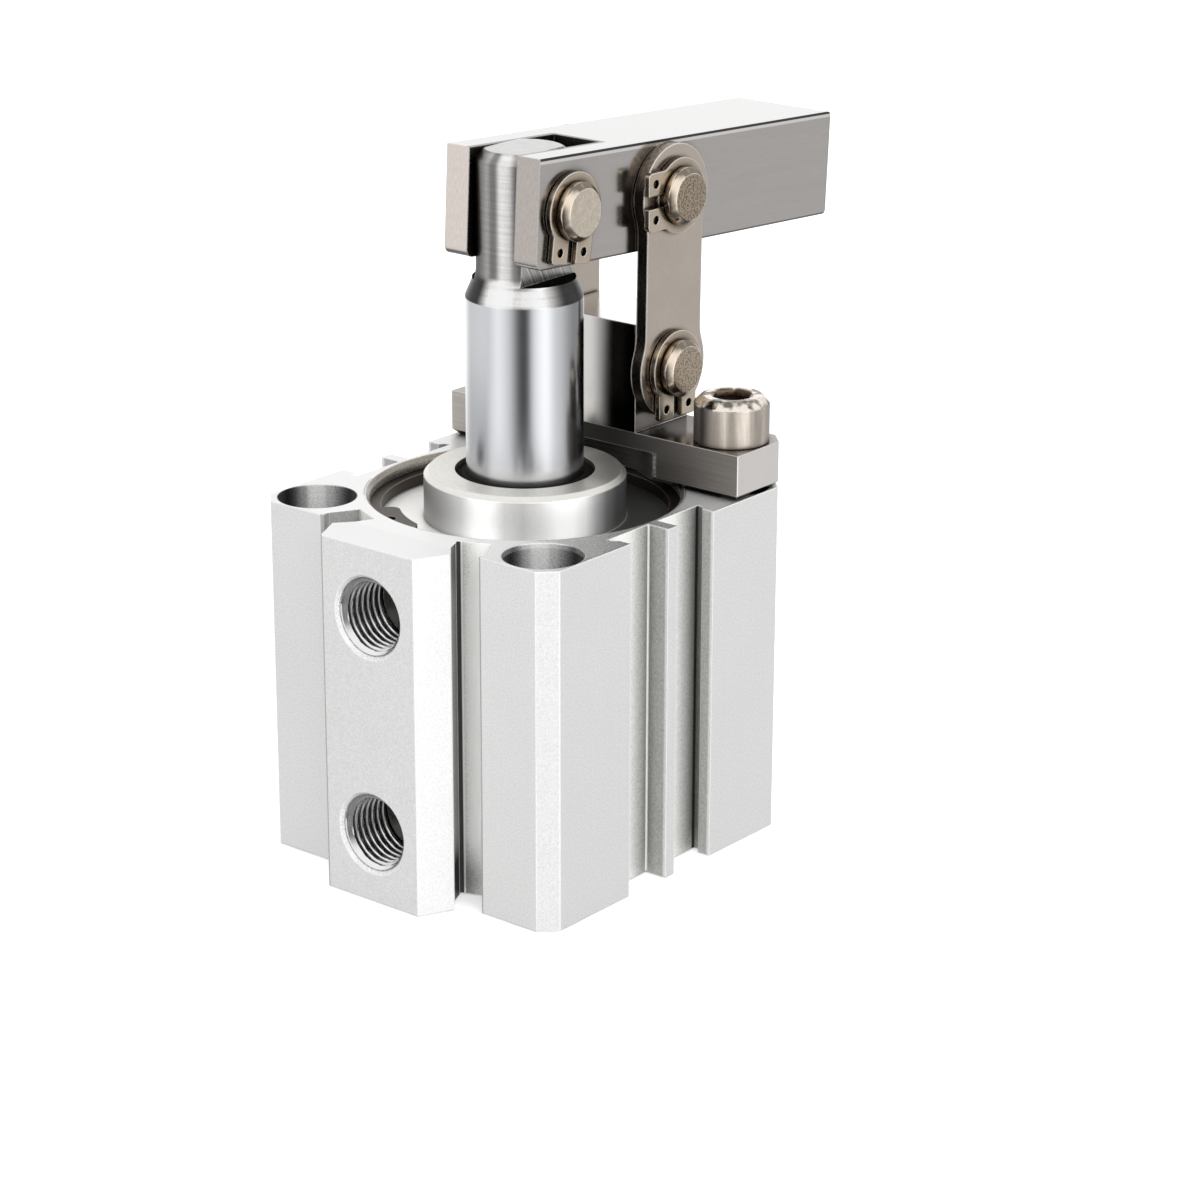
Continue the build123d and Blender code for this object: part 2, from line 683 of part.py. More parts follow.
pieces = {
    "cylinder_body": cylinder_body(),
    "front_cover": front_cover(),
    "front_cover_o_ring": o_ring((front_flange_bottom + front_flange_top) / 2),
    "rod_bush": rod_bush(),
    "rod_seal": rod_seal(),
    "rod_wiper": rod_wiper(),
    "front_retaining_ring": bore_ring(front_ring_bottom),
    "rear_cover": rear_cover(),
    "rear_cover_o_ring": o_ring((ring_space + rear_flange_top) / 2),
    "rear_retaining_ring": bore_ring(BORE_RING_SETBACK),
    "front_bumper": bumper(front_flange_bottom - BUMPER_THICKNESS),
    "rear_bumper": bumper(rear_flange_top),
    "pivot_bracket": pivot_bracket(),
    "bracket_screws": bracket_screws(),
    "post_pin": hinge_pin(pivot_b, link_outer),
    "post_pin_rings": pin_rings(pivot_b, link_outer, 0),
    "piston": piston(),
    "piston_rear_seal": piston_ring(0),
    "piston_magnet": piston_ring(1),
    "piston_guide_ring": piston_ring(2),
    "piston_front_seal": piston_ring(3),
    "piston_nut": piston_nut(),
    "piston_rod": piston_rod(),
    "rod_pin": hinge_pin(pivot_a, arm_cheek),
    "rod_pin_rings": pin_rings(pivot_a, arm_cheek, ROD_PIN_RING_TURN),
    "clamp_arm": clamp_arm(),
    "link_right": link_plate(1),
    "link_left": link_plate(-1),
    "arm_pin": hinge_pin(pivot_c, link_outer),
    "arm_pin_rings": pin_rings(pivot_c, link_outer, ARM_PIN_RING_TURN),
}

for name, piece in pieces.items():
    export_step(piece, f"parts/{name}.step")

print("pivot A", pivot_a, "pivot B", pivot_b, "pivot C", pivot_c)
print("arm tilt", round(arm_tilt, 3), "link tilt", round(link_tilt, 3))
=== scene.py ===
import math

import bpy
import numpy as np
from mathutils import Matrix, Vector


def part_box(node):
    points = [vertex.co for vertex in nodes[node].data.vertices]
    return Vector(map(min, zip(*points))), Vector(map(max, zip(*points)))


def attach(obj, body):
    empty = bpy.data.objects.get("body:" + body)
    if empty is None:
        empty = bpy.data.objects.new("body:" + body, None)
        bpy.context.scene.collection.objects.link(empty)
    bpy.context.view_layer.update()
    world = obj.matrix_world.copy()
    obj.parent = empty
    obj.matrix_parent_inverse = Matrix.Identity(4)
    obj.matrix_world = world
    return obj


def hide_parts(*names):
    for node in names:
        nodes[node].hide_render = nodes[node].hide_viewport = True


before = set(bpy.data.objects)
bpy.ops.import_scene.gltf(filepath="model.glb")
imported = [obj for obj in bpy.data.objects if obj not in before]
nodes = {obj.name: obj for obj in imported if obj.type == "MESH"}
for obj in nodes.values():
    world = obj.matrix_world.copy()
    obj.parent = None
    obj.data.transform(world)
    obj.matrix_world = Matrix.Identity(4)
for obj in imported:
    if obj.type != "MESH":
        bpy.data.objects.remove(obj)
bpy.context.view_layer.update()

MM = 0.001

# Sizes repeated from the part's source, in millimetres and degrees
BODY_HEIGHT = 62.6
MOUTH_DIAMETER = 53.0
COLLAR_DIAMETER = 34.6
COLLAR_TOP = 66.65
HOLE_PITCH = 50.0
BODY_HALF = 32.0
COUNTERBORE_DIAMETER = 13.4
SLOT_PERIOD = 12.3
BOSS_FACE = 39.9
PORT_DIAMETER = 13.16
PORT_CHAMFER = 0.7
PORT_DEPTH = 11.0
PORT_HEIGHTS = (12.2, 50.4)
THREAD_PITCH = 1.34
THREAD_HEIGHT = 0.86
PLATE_TOP = 70.7
POST_TOP = 89.8
POST_FRONT = 17.5
PIVOT_A = (0.0, 0.0, 112.8)
ARM_TILT = -3.186
ARM_HALF = 9.25
ARM_REAR = 8.2
ARM_TIP = 72.7
FORK_DEPTH = 13.5
HALF_WIDTH = 10.0
NECK_RADIUS = 8.25
TONGUE_HALF = 5.0
LEDGE_HEIGHT = 100.139
LINK_MIDDLE = 11.25
LINK_HALF = 1.1

# Lines on the body's section and outlines of the turned pieces, in millimetres
SLOT_LIP = 17.52
SLOT_DEPTH = 4.2
RIB_HALF = 1.2
UNDERCUT = 11.6
BOSS_HALF = 9.98
BOSS_ROOT = (9.18, -27.99)
ROD_RADIUS = 10.0
ROD_SHANK_RADIUS = 6.0
ROD_SHANK_TOP = 48.4
CONE_FOOT = LEDGE_HEIGHT - 3.2
CONE_HEIGHT = 4.0
ROD_TIP_CHAMFER = 1.5
SCREW_RADIUS = 4.0
HEAD_RADIUS = 6.5
HEAD_HEIGHT = 8.0
CROWN_HEIGHT = 1.3
SOCKET_APOTHEM = 3.0
PIN_RADIUS = 5.0
PIN_CHAMFER = 1.0
GROOVE_RADIUS = 4.8
GROOVE_WIDTH = 1.2
GROOVE_PLACE = 3.3

# Camera that was fitted to the photograph, in millimetres and degrees
CAMERA_PLACE = (368.1, -433.3, 241.6)
CAMERA_TARGET = (9.96, 8.08, 42.84)
CAMERA_ROLL = 0.17
CAMERA_LENS = 104.8

# Level direction to the photograph's right, on X and on Y
RIGHT_X = 0.776
RIGHT_Y = 0.630

# Radius of the small hole in the middle of each turned end, which a point closes
AXIS_GAP = 0.02
# How far the floor lies below the part, so that their faces don't meet
FLOOR_GAP = 0.2


class Wire:
    """One socket of a shader tree; arithmetic on it adds Math nodes to the tree."""

    def __init__(self, board, socket):
        self.board = board
        self.socket = socket

    def __add__(self, other):
        return self.board.math("ADD", self, other)

    def __radd__(self, other):
        return self.board.math("ADD", other, self)

    def __sub__(self, other):
        return self.board.math("SUBTRACT", self, other)

    def __rsub__(self, other):
        return self.board.math("SUBTRACT", other, self)

    def __mul__(self, other):
        return self.board.math("MULTIPLY", self, other)

    def __rmul__(self, other):
        return self.board.math("MULTIPLY", other, self)

    def __truediv__(self, other):
        return self.board.math("DIVIDE", self, other)

    def __rtruediv__(self, other):
        return self.board.math("DIVIDE", other, self)

    def __pow__(self, other):
        return self.board.math("POWER", self, other)


class Board:
    """A shader tree, with one method that adds any node to it."""

    def __init__(self, tree):
        self.tree = tree

    def add(self, kind, settings=None, inputs=None, output=0, stops=None):
        """Adds a node: its settings, then a ramp's stops, then the values or links of its sockets."""
        node = self.tree.nodes.new(kind)
        for name, value in (settings or {}).items():
            setattr(node, name, value)
        if stops:
            ramp = node.color_ramp
            while len(ramp.elements) < len(stops):
                ramp.elements.new(1.0)
            for element, (position, level) in zip(ramp.elements, stops):
                element.position = position
                element.color = (level, level, level, 1.0)
        for key, value in (inputs or {}).items():
            self.plug(self.socket(node.inputs, key), value)
        return Wire(self, self.socket(node.outputs, output))

    def socket(self, sockets, key):
        """The socket at a place, or the one in use that has a name."""
        if isinstance(key, int):
            return sockets[key]
        return next(s for s in sockets if s.enabled and s.name == key)

    def plug(self, socket, value):
        """Links a wire to a socket, or sets the socket's own value."""
        if isinstance(value, Wire):
            self.tree.links.new(value.socket, socket)
        elif isinstance(value, tuple) and len(value) == 3 and socket.type == "RGBA":
            socket.default_value = (*value, 1.0)
        else:
            socket.default_value = value

    def math(self, operation, *values):
        return self.add("ShaderNodeMath", {"operation": operation}, dict(enumerate(values)))

    def step(self, value, low, high, start=0.0, end=1.0):
        """Smooth step from start to end while a value goes from low to high."""
        limits = {"Value": value, "From Min": low, "From Max": high, "To Min": start, "To Max": end}
        return self.add("ShaderNodeMapRange", {"interpolation_type": "SMOOTHSTEP"}, limits)

    def mix(self, share, first, second):
        """Colour between two colours."""
        blend = {"data_type": "RGBA", "clamp_factor": True}
        return self.add("ShaderNodeMix", blend, {"Factor": share, "A": first, "B": second}, "Result")

    def vector(self, x, y, z):
        return self.add("ShaderNodeCombineXYZ", None, {0: x, 1: y, 2: z})

    def scaled(self, vector, factor):
        """Vector or colour times a number."""
        values = {0: vector, "Scale": factor}
        return self.add("ShaderNodeVectorMath", {"operation": "SCALE"}, values, "Vector")

    def tinted(self, colour, shade):
        """Fixed colour times a brightness."""
        return self.vector(*(part * shade for part in colour))

    def split(self, vector):
        """The three numbers of a vector."""
        parts = self.add("ShaderNodeSeparateXYZ", None, {0: vector})
        outputs = parts.socket.node.outputs
        return tuple(Wire(self, outputs[i]) for i in range(3))

    def noise(self, place, scale, detail=2.0, roughness=0.5):
        """Cloudy number about 0.5 at a place in millimetres."""
        values = {"Vector": place, "Scale": scale, "Detail": detail, "Roughness": roughness}
        return self.add("ShaderNodeTexNoise", None, values, "Fac")

    def length(self, *parts):
        """Root of the sum of squares."""
        total = parts[0] * parts[0]
        for part in parts[1:]:
            total = total + part * part
        return total**0.5


class Finish(Board):
    """A material on the Principled shader, worked out in millimetres on the piece."""

    def __init__(self, name, **fixed):
        self.material = bpy.data.materials.new(name)
        self.material.use_nodes = True
        super().__init__(self.material.node_tree)
        self.shader = self.tree.nodes["Principled BSDF"]
        for word, value in fixed.items():
            self.plug(self.shader.inputs[word.replace("_", " ").title()], value)
        place = self.add("ShaderNodeTexCoord", None, None, "Object")
        self.place = self.scaled(place, 1 / MM)
        self.x, self.y, self.z = self.split(self.place)

    def feed(self, word, wire):
        self.plug(self.shader.inputs[word], wire)

    def soft_edges(self, radius):
        """Normal with edges rounded by a radius in millimetres, and a mask that is 1 on those edges."""
        normal = self.add("ShaderNodeBevel", {"samples": 6}, {"Radius": radius * MM}, "Normal")
        flat = self.add("ShaderNodeNewGeometry", None, None, "True Normal")
        same = self.add("ShaderNodeVectorMath", {"operation": "DOT_PRODUCT"}, {0: normal, 1: flat}, "Value")
        return normal, self.step(same, 0.995, 0.93)

    def crevice(self, reach, start=0.85, full=0.35):
        """Number from 0 in the open to 1 deep in a corner, as far as a reach in millimetres tells."""
        clear = self.add("ShaderNodeAmbientOcclusion", {"samples": 6}, {"Distance": reach * MM}, "AO")
        return self.step(clear, start, full)

    def bump(self, height, depth, normal=None):
        """Bump of a depth in millimetres where the height goes from 0 to 1."""
        values = {"Strength": 1.0, "Distance": depth * MM, "Height": height}
        if normal:
            values["Normal"] = normal
        return self.add("ShaderNodeBump", None, values, "Normal")

    def facing(self):
        """The three numbers of the direction that the surface faces."""
        return self.split(self.add("ShaderNodeTexCoord", None, None, "Normal"))

    def across(self, x, y, radius):
        """Place across a round part, from -1 at its left edge in the photograph to 1 at its right edge."""
        return (RIGHT_X * x + RIGHT_Y * y) / radius

    def bands(self, across, stops):
        """Painted reflections: grey stretches round a turned piece, from pairs of a place across it and a
        brightness.
        """
        stops = [((place + 1) / 2, bright) for place, bright in stops]
        return self.add("ShaderNodeValToRGB", None, {"Fac": 0.5 + 0.5 * across}, "Color", stops)

    def flashes(self, size=1.6):
        """Painted reflections: light and dark stretches that change with the direction a rounded surface
        faces.
        """
        nx, ny, nz = self.facing()
        return self.step(self.noise(self.vector(nx * size, ny * size, nz * size), 1.0, 2.0), 0.38, 0.60)

    def top(self, node):
        """Highest point of a CAD node, in millimetres."""
        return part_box(node)[1].z / MM

    def turned_to(self, place, degrees):
        """Place in millimetres measured from a point, in axes tilted about X."""
        turn = math.radians(degrees)
        values = {"Vector": self.place, "Location": tuple(place), "Rotation": (turn, 0.0, 0.0)}
        return self.split(self.add("ShaderNodeMapping", {"vector_type": "TEXTURE"}, values, "Vector"))


def put_on(finish, *names):
    """Gives CAD nodes a finish in all their material slots."""
    for name in names:
        piece = nodes[name]
        if not piece.data.materials:
            piece.data.materials.append(finish.material)
        for i in range(len(piece.data.materials)):
            piece.data.materials[i] = finish.material


def body_finish():
    """Blasted and anodised aluminium: fine grain, faint drawn lines and cut faces where a tool went. The
    slots are painted grey with shade that grows darker towards their undercut, and the corner holes are
    painted dark with a painted lit stretch."""
    f = Finish("blasted anodised aluminium")
    x, y, z = f.x, f.y, f.z
    wide_x = f.math("ABSOLUTE", x)
    wide_y = f.math("ABSOLUTE", y)
    grain = f.noise(f.place, 3.0, 3.0, 0.7)
    patch = f.noise(f.place, 0.07, 2.0)
    lines = f.noise(f.vector(x * 2.5, y * 2.5, z * 0.02), 1.0, 2.0)
    from_axis = f.length(x, y)
    mouth = f.step(from_axis, MOUTH_DIAMETER / 2 + 1.2, MOUTH_DIAMETER / 2 + 0.6)
    hole_x = x - f.math("SIGN", x) * (HOLE_PITCH / 2)
    hole_y = y - f.math("SIGN", y) * (HOLE_PITCH / 2)
    from_hole = f.length(hole_x, hole_y)
    hole = f.step(from_hole, COUNTERBORE_DIAMETER / 2 + 0.25, COUNTERBORE_DIAMETER / 2 + 0.05)
    half_way = (PORT_HEIGHTS[1] - PORT_HEIGHTS[0]) / 2
    from_port = f.length(x, f.math("PINGPONG", z - PORT_HEIGHTS[0], half_way))
    port_edge = f.step(from_port, PORT_DIAMETER / 2 + 0.22, PORT_DIAMETER / 2 + 0.14)
    port_rim = f.step(from_port, PORT_DIAMETER / 2 + 0.72, PORT_DIAMETER / 2 + 0.66) * (1 - port_edge)
    port = port_edge * f.step(y, -20.0, -22.0) * f.step(y, 0.02 - BOSS_FACE, 0.08 - BOSS_FACE)
    port_end = port_edge * f.step(y, 10.2 - BOSS_FACE, 10.8 - BOSS_FACE) * f.step(y, -24.0, -25.0)
    top = f.step(z, BODY_HEIGHT - 0.12, BODY_HEIGHT - 0.04) * (1 - mouth) * (1 - hole)
    bottom = f.step(z, 0.12, 0.04)
    bored = f.math("MAXIMUM", mouth, f.math("MAXIMUM", hole, port))
    machined = f.math("MAXIMUM", bored, f.math("MAXIMUM", top, bottom))
    normal, edge = f.soft_edges(0.30)
    deep = f.crevice(2.6) * f.step(z, 0.5, 5.0)
    narrow = f.crevice(1.1, 0.60, 0.25)
    nx, ny = f.facing()[:2]
    slanting = f.step(f.math("ABSOLUTE", nx * ny), 0.20, 0.36)
    chamfered = f.step(f.math("ABSOLUTE", nx * ny), 0.42, 0.48)
    shade = 0.96 + 0.50 * (grain - 0.5) * (1 - machined * 0.8) + 0.05 * (patch - 0.5) + 0.03 * (lines - 0.5)
    # Painted light: faces at a slant, such as the boss flanks, are painted lighter and the corner chamfers
    # a little darker
    shade = shade * (1 + 0.12 * slanting - 0.18 * chamfered)

    inward = BODY_HALF - f.math("MAXIMUM", wide_x, wide_y)
    slot = f.step(inward, 0.35, 0.8) * f.step(wide_x + wide_y, 53.0, 51.0) * (1 - port)
    on_end = f.step(wide_y - wide_x, -0.5, 0.5)
    run = f.math("WRAP", y + on_end * (x - y), SLOT_PERIOD, 0.0)
    beside_port = on_end * f.step(y, -18.0, -20.0)
    boss_wall = f.step(f.math("ABSOLUTE", nx), 0.6, 0.8) * beside_port
    right = f.step(x, 0.0, 1.0)
    # Painted shade in the slots: darker towards the undercut, on the wall of the boss, and towards the top
    # and bottom beside the ports
    port_slot = 0.30 + right * (f.step(x, 9.6, 13.6, 0.18, -0.52) + 0.22 * f.step(z, 52.0, 60.0))
    port_slot = port_slot + right * 0.88 * f.step(z, 11.0, 2.0)
    slot_shade = f.step(run, 4.0, 11.3) * (1 - beside_port) + port_slot * beside_port + 0.42 * boss_wall
    grey = shade * (1.38 - 0.82 * slot_shade - 0.34 * boss_wall) + 0.30 * (grain - 0.5) * (0.3 + slot_shade)
    pale = f.tinted((0.850, 0.853, 0.847), shade)
    pale = f.mix(slot, pale, f.tinted((0.84, 0.85, 0.82), grey))
    middle = f.math("MINIMUM", wide_x, wide_y)
    rib_foot = f.length(middle - RIB_HALF, inward - SLOT_DEPTH)
    root = f.length(wide_x - BOSS_ROOT[0], y - BOSS_ROOT[1])
    corner = f.step(rib_foot, 0.34, 0.24) * (1 - beside_port) + f.step(root, 0.95, 0.85) * beside_port
    on_floor = f.math("MAXIMUM", f.step(inward, SLOT_DEPTH - 0.2, SLOT_DEPTH - 0.1), beside_port)
    under = f.step(middle, UNDERCUT - 0.05, UNDERCUT + 0.05) * on_floor * (1 - beside_port)
    under = (under + f.step(root, 0.62, 0.50) * beside_port) * slot * (1 - machined)
    corner = corner * slot * (1 - machined)

    rings = f.noise(f.vector(from_axis * 6.0, z * 6.0, 0.0), 1.0, 2.0)
    turned = f.vector(0.50 + 0.16 * rings, 0.475 + 0.16 * rings, 0.42 + 0.16 * rings)
    # Painted shade and light in the corner holes: walls painted near black with a painted lit stretch, and
    # a painted highlight band under the rim of the near right hole
    far = (RIGHT_X * hole_y - RIGHT_Y * hole_x) / from_hole
    far = far * far
    lit = f.step(far, 0.18, 1.0) ** 2
    hole_shading = 0.02 + lit * (0.80 + 0.4 * (grain - 0.5))
    rim = f.step(z, BODY_HEIGHT - 0.95, BODY_HEIGHT - 0.85) * f.step(x - y, 30.0, 32.0)
    hole_shading = f.math("MAXIMUM", hole_shading, rim * (0.25 + 0.75 * f.step(far, 0.45, 0.85)))
    wall = f.mix(hole, turned, f.tinted((1.0, 1.0, 0.99), hole_shading))
    # Painted reflection: a dark grainy stretch on the top between the near right hole and the mouth
    reflection_strip = f.step(x, 17.0, 23.0) * f.step(y, -32.0, -23.0) * f.step(y, 14.0, 2.0)
    flat = 0.79 - 0.33 * reflection_strip + (0.10 + 0.9 * reflection_strip) * (grain - 0.5)

    colour = f.mix(bored, pale, wall)
    cut_port = 0.46 + 0.8 * (grain - 0.5)
    colour = f.mix(port, colour, f.vector(cut_port, cut_port, cut_port))
    # Painted shade: the bottom of each port is painted near black
    colour = f.mix(port_end, colour, (0.10, 0.097, 0.093))
    # Painted highlight: light patches on the outer chamfer of each port
    highlight_zone = f.step(grain, 0.40, 0.62) * f.step(y, -39.0, -39.4)
    colour = f.mix(port_rim * highlight_zone * f.step(y, -38.0, -39.0), colour, (0.97, 0.97, 0.97))
    colour = f.mix(top, colour, f.tinted((1.0, 1.0, 0.995), flat))
    # Painted shade: corners are darkened, except low down at the bottom of the body
    colour = f.mix(deep * (1 - port) * (1 - hole) * (0.55 + 0.3 * slot), colour, (0.15, 0.14, 0.125))
    # Painted highlight along the rounded edges
    colour = f.mix(edge * (0.8 - 0.1 * slot) * (1 - hole) * (1 - port_rim), colour, (0.99, 0.99, 0.99))
    # Painted shade: the narrow slot floors are painted near black
    colour = f.mix(narrow * slot * on_floor * 0.9, colour, (0.02, 0.02, 0.018))
    # Painted highlight: a thin bright line at the foot of the rib and at the root of the boss
    colour = f.mix(corner * 0.8, colour, (0.99, 0.99, 0.97))
    # Painted shadow: a black line in the slot undercut and beside the root of the boss
    colour = f.mix(under * 0.95, colour, (0.02, 0.02, 0.018))
    # Painted shade: thin dark lines along the lips of the port slots and the left edge of the boss
    lip_line = f.step(f.math("ABSOLUTE", wide_x - SLOT_LIP), 0.16, 0.08) * f.step(y, -31.6, -31.8)
    boss_line = f.step(f.math("ABSOLUTE", x + BOSS_HALF), 0.16, 0.08) * f.step(y, -39.7, -39.8)
    colour = f.mix((lip_line + boss_line) * (1 - slot) * 0.6, colour, (0.16, 0.16, 0.15))
    f.feed("Base Color", colour)
    dull = 0.45 * edge + 0.15 * slot + 0.15 * slanting + 0.22 * chamfered
    f.feed("Metallic", 0.75 + 0.25 * f.math("MAXIMUM", mouth, port) - dull)
    f.feed("Roughness", 0.44 + 0.16 * (grain - 0.5) - 0.08 * top - 0.16 * bored - 0.10 * edge)
    height = grain * (1 - machined * 0.75 + 0.15 * hole + 0.5 * reflection_strip * top) + 0.15 * rings * bored
    f.feed("Normal", f.bump(height, 0.035, normal))
    return f


def turned_finish():
    """Anodised aluminium turned on a lathe about Z: fine rings round the axis, painted shade in the
    corners.
    """
    f = Finish("turned anodised cover", metallic=0.85, anisotropic=0.4)
    from_axis = f.length(f.x, f.y)
    rings = f.noise(f.vector(from_axis * 9.0, f.z * 9.0, 0.0), 1.0, 3.0, 0.6)
    patch = f.noise(f.place, 0.12, 2.0)
    speck = f.noise(f.place, 1.6, 4.0, 0.7)
    normal, edge = f.soft_edges(0.12)
    shade = 0.95 + 0.10 * (rings - 0.5) + 0.08 * (patch - 0.5) + 0.16 * (speck - 0.5)
    colour = f.tinted((0.96, 0.955, 0.935), shade)
    # Painted shade in the corners
    colour = f.mix(f.crevice(1.4) * 0.7, colour, (0.20, 0.18, 0.15))
    # Painted highlight along the edges
    f.feed("Base Color", f.mix(edge * 0.5, colour, (0.97, 0.97, 0.96)))
    f.feed("Roughness", 0.42 + 0.12 * (rings - 0.5) + 0.05 * (patch - 0.5))
    f.feed("Normal", f.bump(rings, 0.006, normal))
    return f


def cover_finish():
    """Front cover: collar turned bright on its side, with painted reflections in light and dark stretches,
    satin on its face, and a painted dark reflection on the face around the collar under the bracket."""
    f = Finish("turned anodised front cover")
    from_axis = f.length(f.x, f.y)
    rings = f.noise(f.vector(from_axis * 9.0, f.z * 9.0, 0.0), 1.0, 3.0, 0.6)
    patch = f.noise(f.place, 0.12, 2.0)
    speck = f.noise(f.place, 1.6, 4.0, 0.7)
    normal, edge = f.soft_edges(0.15)
    under = f.across(f.x, f.y, from_axis)
    side = f.step(from_axis, COLLAR_DIAMETER / 2 - 0.12, COLLAR_DIAMETER / 2 - 0.04)
    side = side * f.step(from_axis, COLLAR_DIAMETER / 2 + 0.15, COLLAR_DIAMETER / 2 + 0.05)
    face = f.step(f.z, COLLAR_TOP - 0.10, COLLAR_TOP - 0.04)
    floor = f.step(from_axis, COLLAR_DIAMETER / 2 + 0.05, COLLAR_DIAMETER / 2 + 0.15)
    shade = 0.97 + 0.10 * (rings - 0.5) + 0.08 * (patch - 0.5) + 0.14 * (speck - 0.5)
    bright = f.tinted((0.90, 0.88, 0.835), shade)
    # Painted reflections: light and dark stretches across the collar's side
    bands = f.bands(under, [
        (-1.0, 0.18), (-0.80, 0.36), (-0.60, 0.58), (-0.46, 0.94), (-0.33, 0.94), (-0.18, 0.56),
        (0.0, 0.48), (0.18, 0.68), (0.34, 0.96), (0.48, 1.0), (0.60, 0.78), (0.70, 0.38),
        (0.80, 0.14), (0.90, 0.06),
    ])
    bright = f.mix(side, bright, f.scaled(bands, 1.34 * shade))
    # Painted shade: the collar's face is darker towards the bracket
    satin = 0.76 - 0.10 * f.step(under, -0.1, 0.9) - 0.24 * f.step(under, 0.76, 0.95)
    satin = satin * (shade + 0.25 * (speck - 0.5))
    colour = f.mix(face, bright, f.tinted((0.98, 0.965, 0.90), satin))
    # Painted reflection: the face around the collar is dark under the bracket
    around = shade * (1.0 - 0.92 * f.step(under, -0.1, 0.80))
    colour = f.mix(floor, colour, f.tinted((0.98, 0.975, 0.95), around))
    # Painted shade in the corners
    colour = f.mix(f.crevice(1.4) * 0.7, colour, (0.20, 0.18, 0.15))
    # Painted highlight along the edges
    f.feed("Base Color", f.mix(edge * 0.35, colour, (0.92, 0.92, 0.90)))
    f.feed("Metallic", 0.95 - 0.75 * side - 0.55 * floor - 0.25 * face)
    f.feed("Roughness", 0.40 + 0.08 * (rings - 0.5) + 0.05 * (patch - 0.5))
    f.feed("Normal", f.bump(rings, 0.004, normal))
    return f


def rod_finish():
    """Hard chromed and polished barrel, with a painted dark reflection towards the bracket; the cone and
    neck are left as turned and painted with stretches of reflection, the flats of the tongue as milled."""
    f = Finish("hard chromed rod", metallic=1.0)
    from_axis = f.length(f.x, f.y)
    wide = f.math("ABSOLUTE", f.x)
    across = f.across(f.x, f.y, from_axis)
    satin = f.step(f.z, CONE_FOOT - 0.2, CONE_FOOT)
    neck = f.step(f.z, LEDGE_HEIGHT + 0.2, LEDGE_HEIGHT + 1.4)
    turned = f.noise(f.vector(from_axis * 0.5, 0.0, f.z * 5.0), 1.0, 3.0, 0.6)
    tool = f.noise(f.vector(0.0, 0.0, f.z * 1.7), 1.0, 2.0)
    streak = f.noise(f.vector(f.x * 0.7, f.y * 0.7, f.z * 0.06), 1.0, 2.0)
    fine = f.noise(f.place, 0.35, 3.0)
    grain = f.noise(f.place, 2.2, 3.0, 0.6)
    # Painted reflection: the barrel is darker on its side towards the bracket, and low down on its other
    # side
    shadow = f.step(across, 0.58, 0.86)
    sheltered = f.step(across, -0.52, -0.66) * f.step(f.z, 92.0, 72.0)
    chrome = (0.80 + 0.03 * fine) * (1 - 0.62 * shadow) * (1 - 0.30 * sheltered)
    chrome = f.tinted((1.0, 1.01, 1.045), chrome)
    # Painted reflections: light and dark stretches across the neck and the cone
    bands = 0.46 - 0.40 * f.step(across, -0.70, -0.98) - 0.25 * f.step(across, 0.0, 0.5)
    bands = bands - 0.22 * f.step(f.math("ABSOLUTE", across + 0.60), 0.13, 0.02)
    bands = bands + 0.40 * f.step(f.math("ABSOLUTE", across + 0.36), 0.20, 0.06)
    cone = 1.06 - 1.01 * f.step(across, -0.58, -0.80) - 1.00 * f.step(across, 0.26, 0.74)
    cone = cone + 0.34 * f.step(f.math("ABSOLUTE", across + 0.40), 0.24, 0.10)
    cone = cone - 0.20 * f.step(f.math("ABSOLUTE", across + 0.10), 0.12, 0.03)
    steel = bands * neck + cone * (1 - neck)
    uneven = 0.30 * (turned + streak + grain - 1.5)
    steel = steel * (1 + 0.70 * (tool - 0.5) + uneven)
    steel = f.tinted((1.02, 1.0, 0.985), steel)
    # Painted shade in the corners
    steel = f.mix(f.crevice(2.0) * 0.8, steel, (0.03, 0.027, 0.024))
    above = f.step(f.z, LEDGE_HEIGHT + 0.03, LEDGE_HEIGHT + 0.08)
    hatch = f.noise(f.vector(0.0, (f.y + f.z * 0.55) * 2.2, 0.0), 1.0, 1.0)
    milled = 0.58 + 1.5 * (hatch - 0.5)
    flat = f.step(f.math("ABSOLUTE", wide - TONGUE_HALF), 0.03, 0.01)
    steel = f.mix(flat * above, steel, f.tinted((1.0, 0.99, 0.97), milled))
    # Painted shade: the ledge under the tongue is painted near black
    ledge = f.step(f.math("ABSOLUTE", f.z - LEDGE_HEIGHT), 0.03, 0.01)
    ledge = ledge * f.step(wide, TONGUE_HALF, TONGUE_HALF + 0.1)
    steel = f.mix(ledge, steel, (0.008, 0.007, 0.006))
    high = f.top("piston_rod")
    tip = f.step(f.z, high - 0.06, high - 0.02)
    crown = 0.62 + 0.15 * (streak - 0.5)
    crown = crown * f.step(wide, TONGUE_HALF - 0.12, TONGUE_HALF - 0.30, 0.25, 1.0)
    steel = f.mix(tip, steel, f.tinted((1.0, 0.995, 0.99), crown))
    normal, edge = f.soft_edges(0.2)
    # Painted highlight on the edges of the cone and near the tip
    highlight_zone = (1 - neck) * f.step(f.z, LEDGE_HEIGHT - 1.0, LEDGE_HEIGHT - 2.0)
    highlight_zone = f.math("MAXIMUM", highlight_zone, f.step(f.z, high - 4.0, high - 3.0))
    steel = f.mix(edge * (1 - tip) * highlight_zone * 0.6, steel, (0.95, 0.94, 0.92))
    f.feed("Base Color", f.mix(satin, chrome, steel))
    foot = f.step(f.z, 84.0, 70.0)
    f.feed("Roughness", 0.16 + 0.03 * fine + 0.07 * foot + satin * (0.10 + 0.10 * grain + 0.6 * ledge))
    f.feed("Normal", f.bump(turned * satin * (1 - tip), 0.008, normal))
    return f


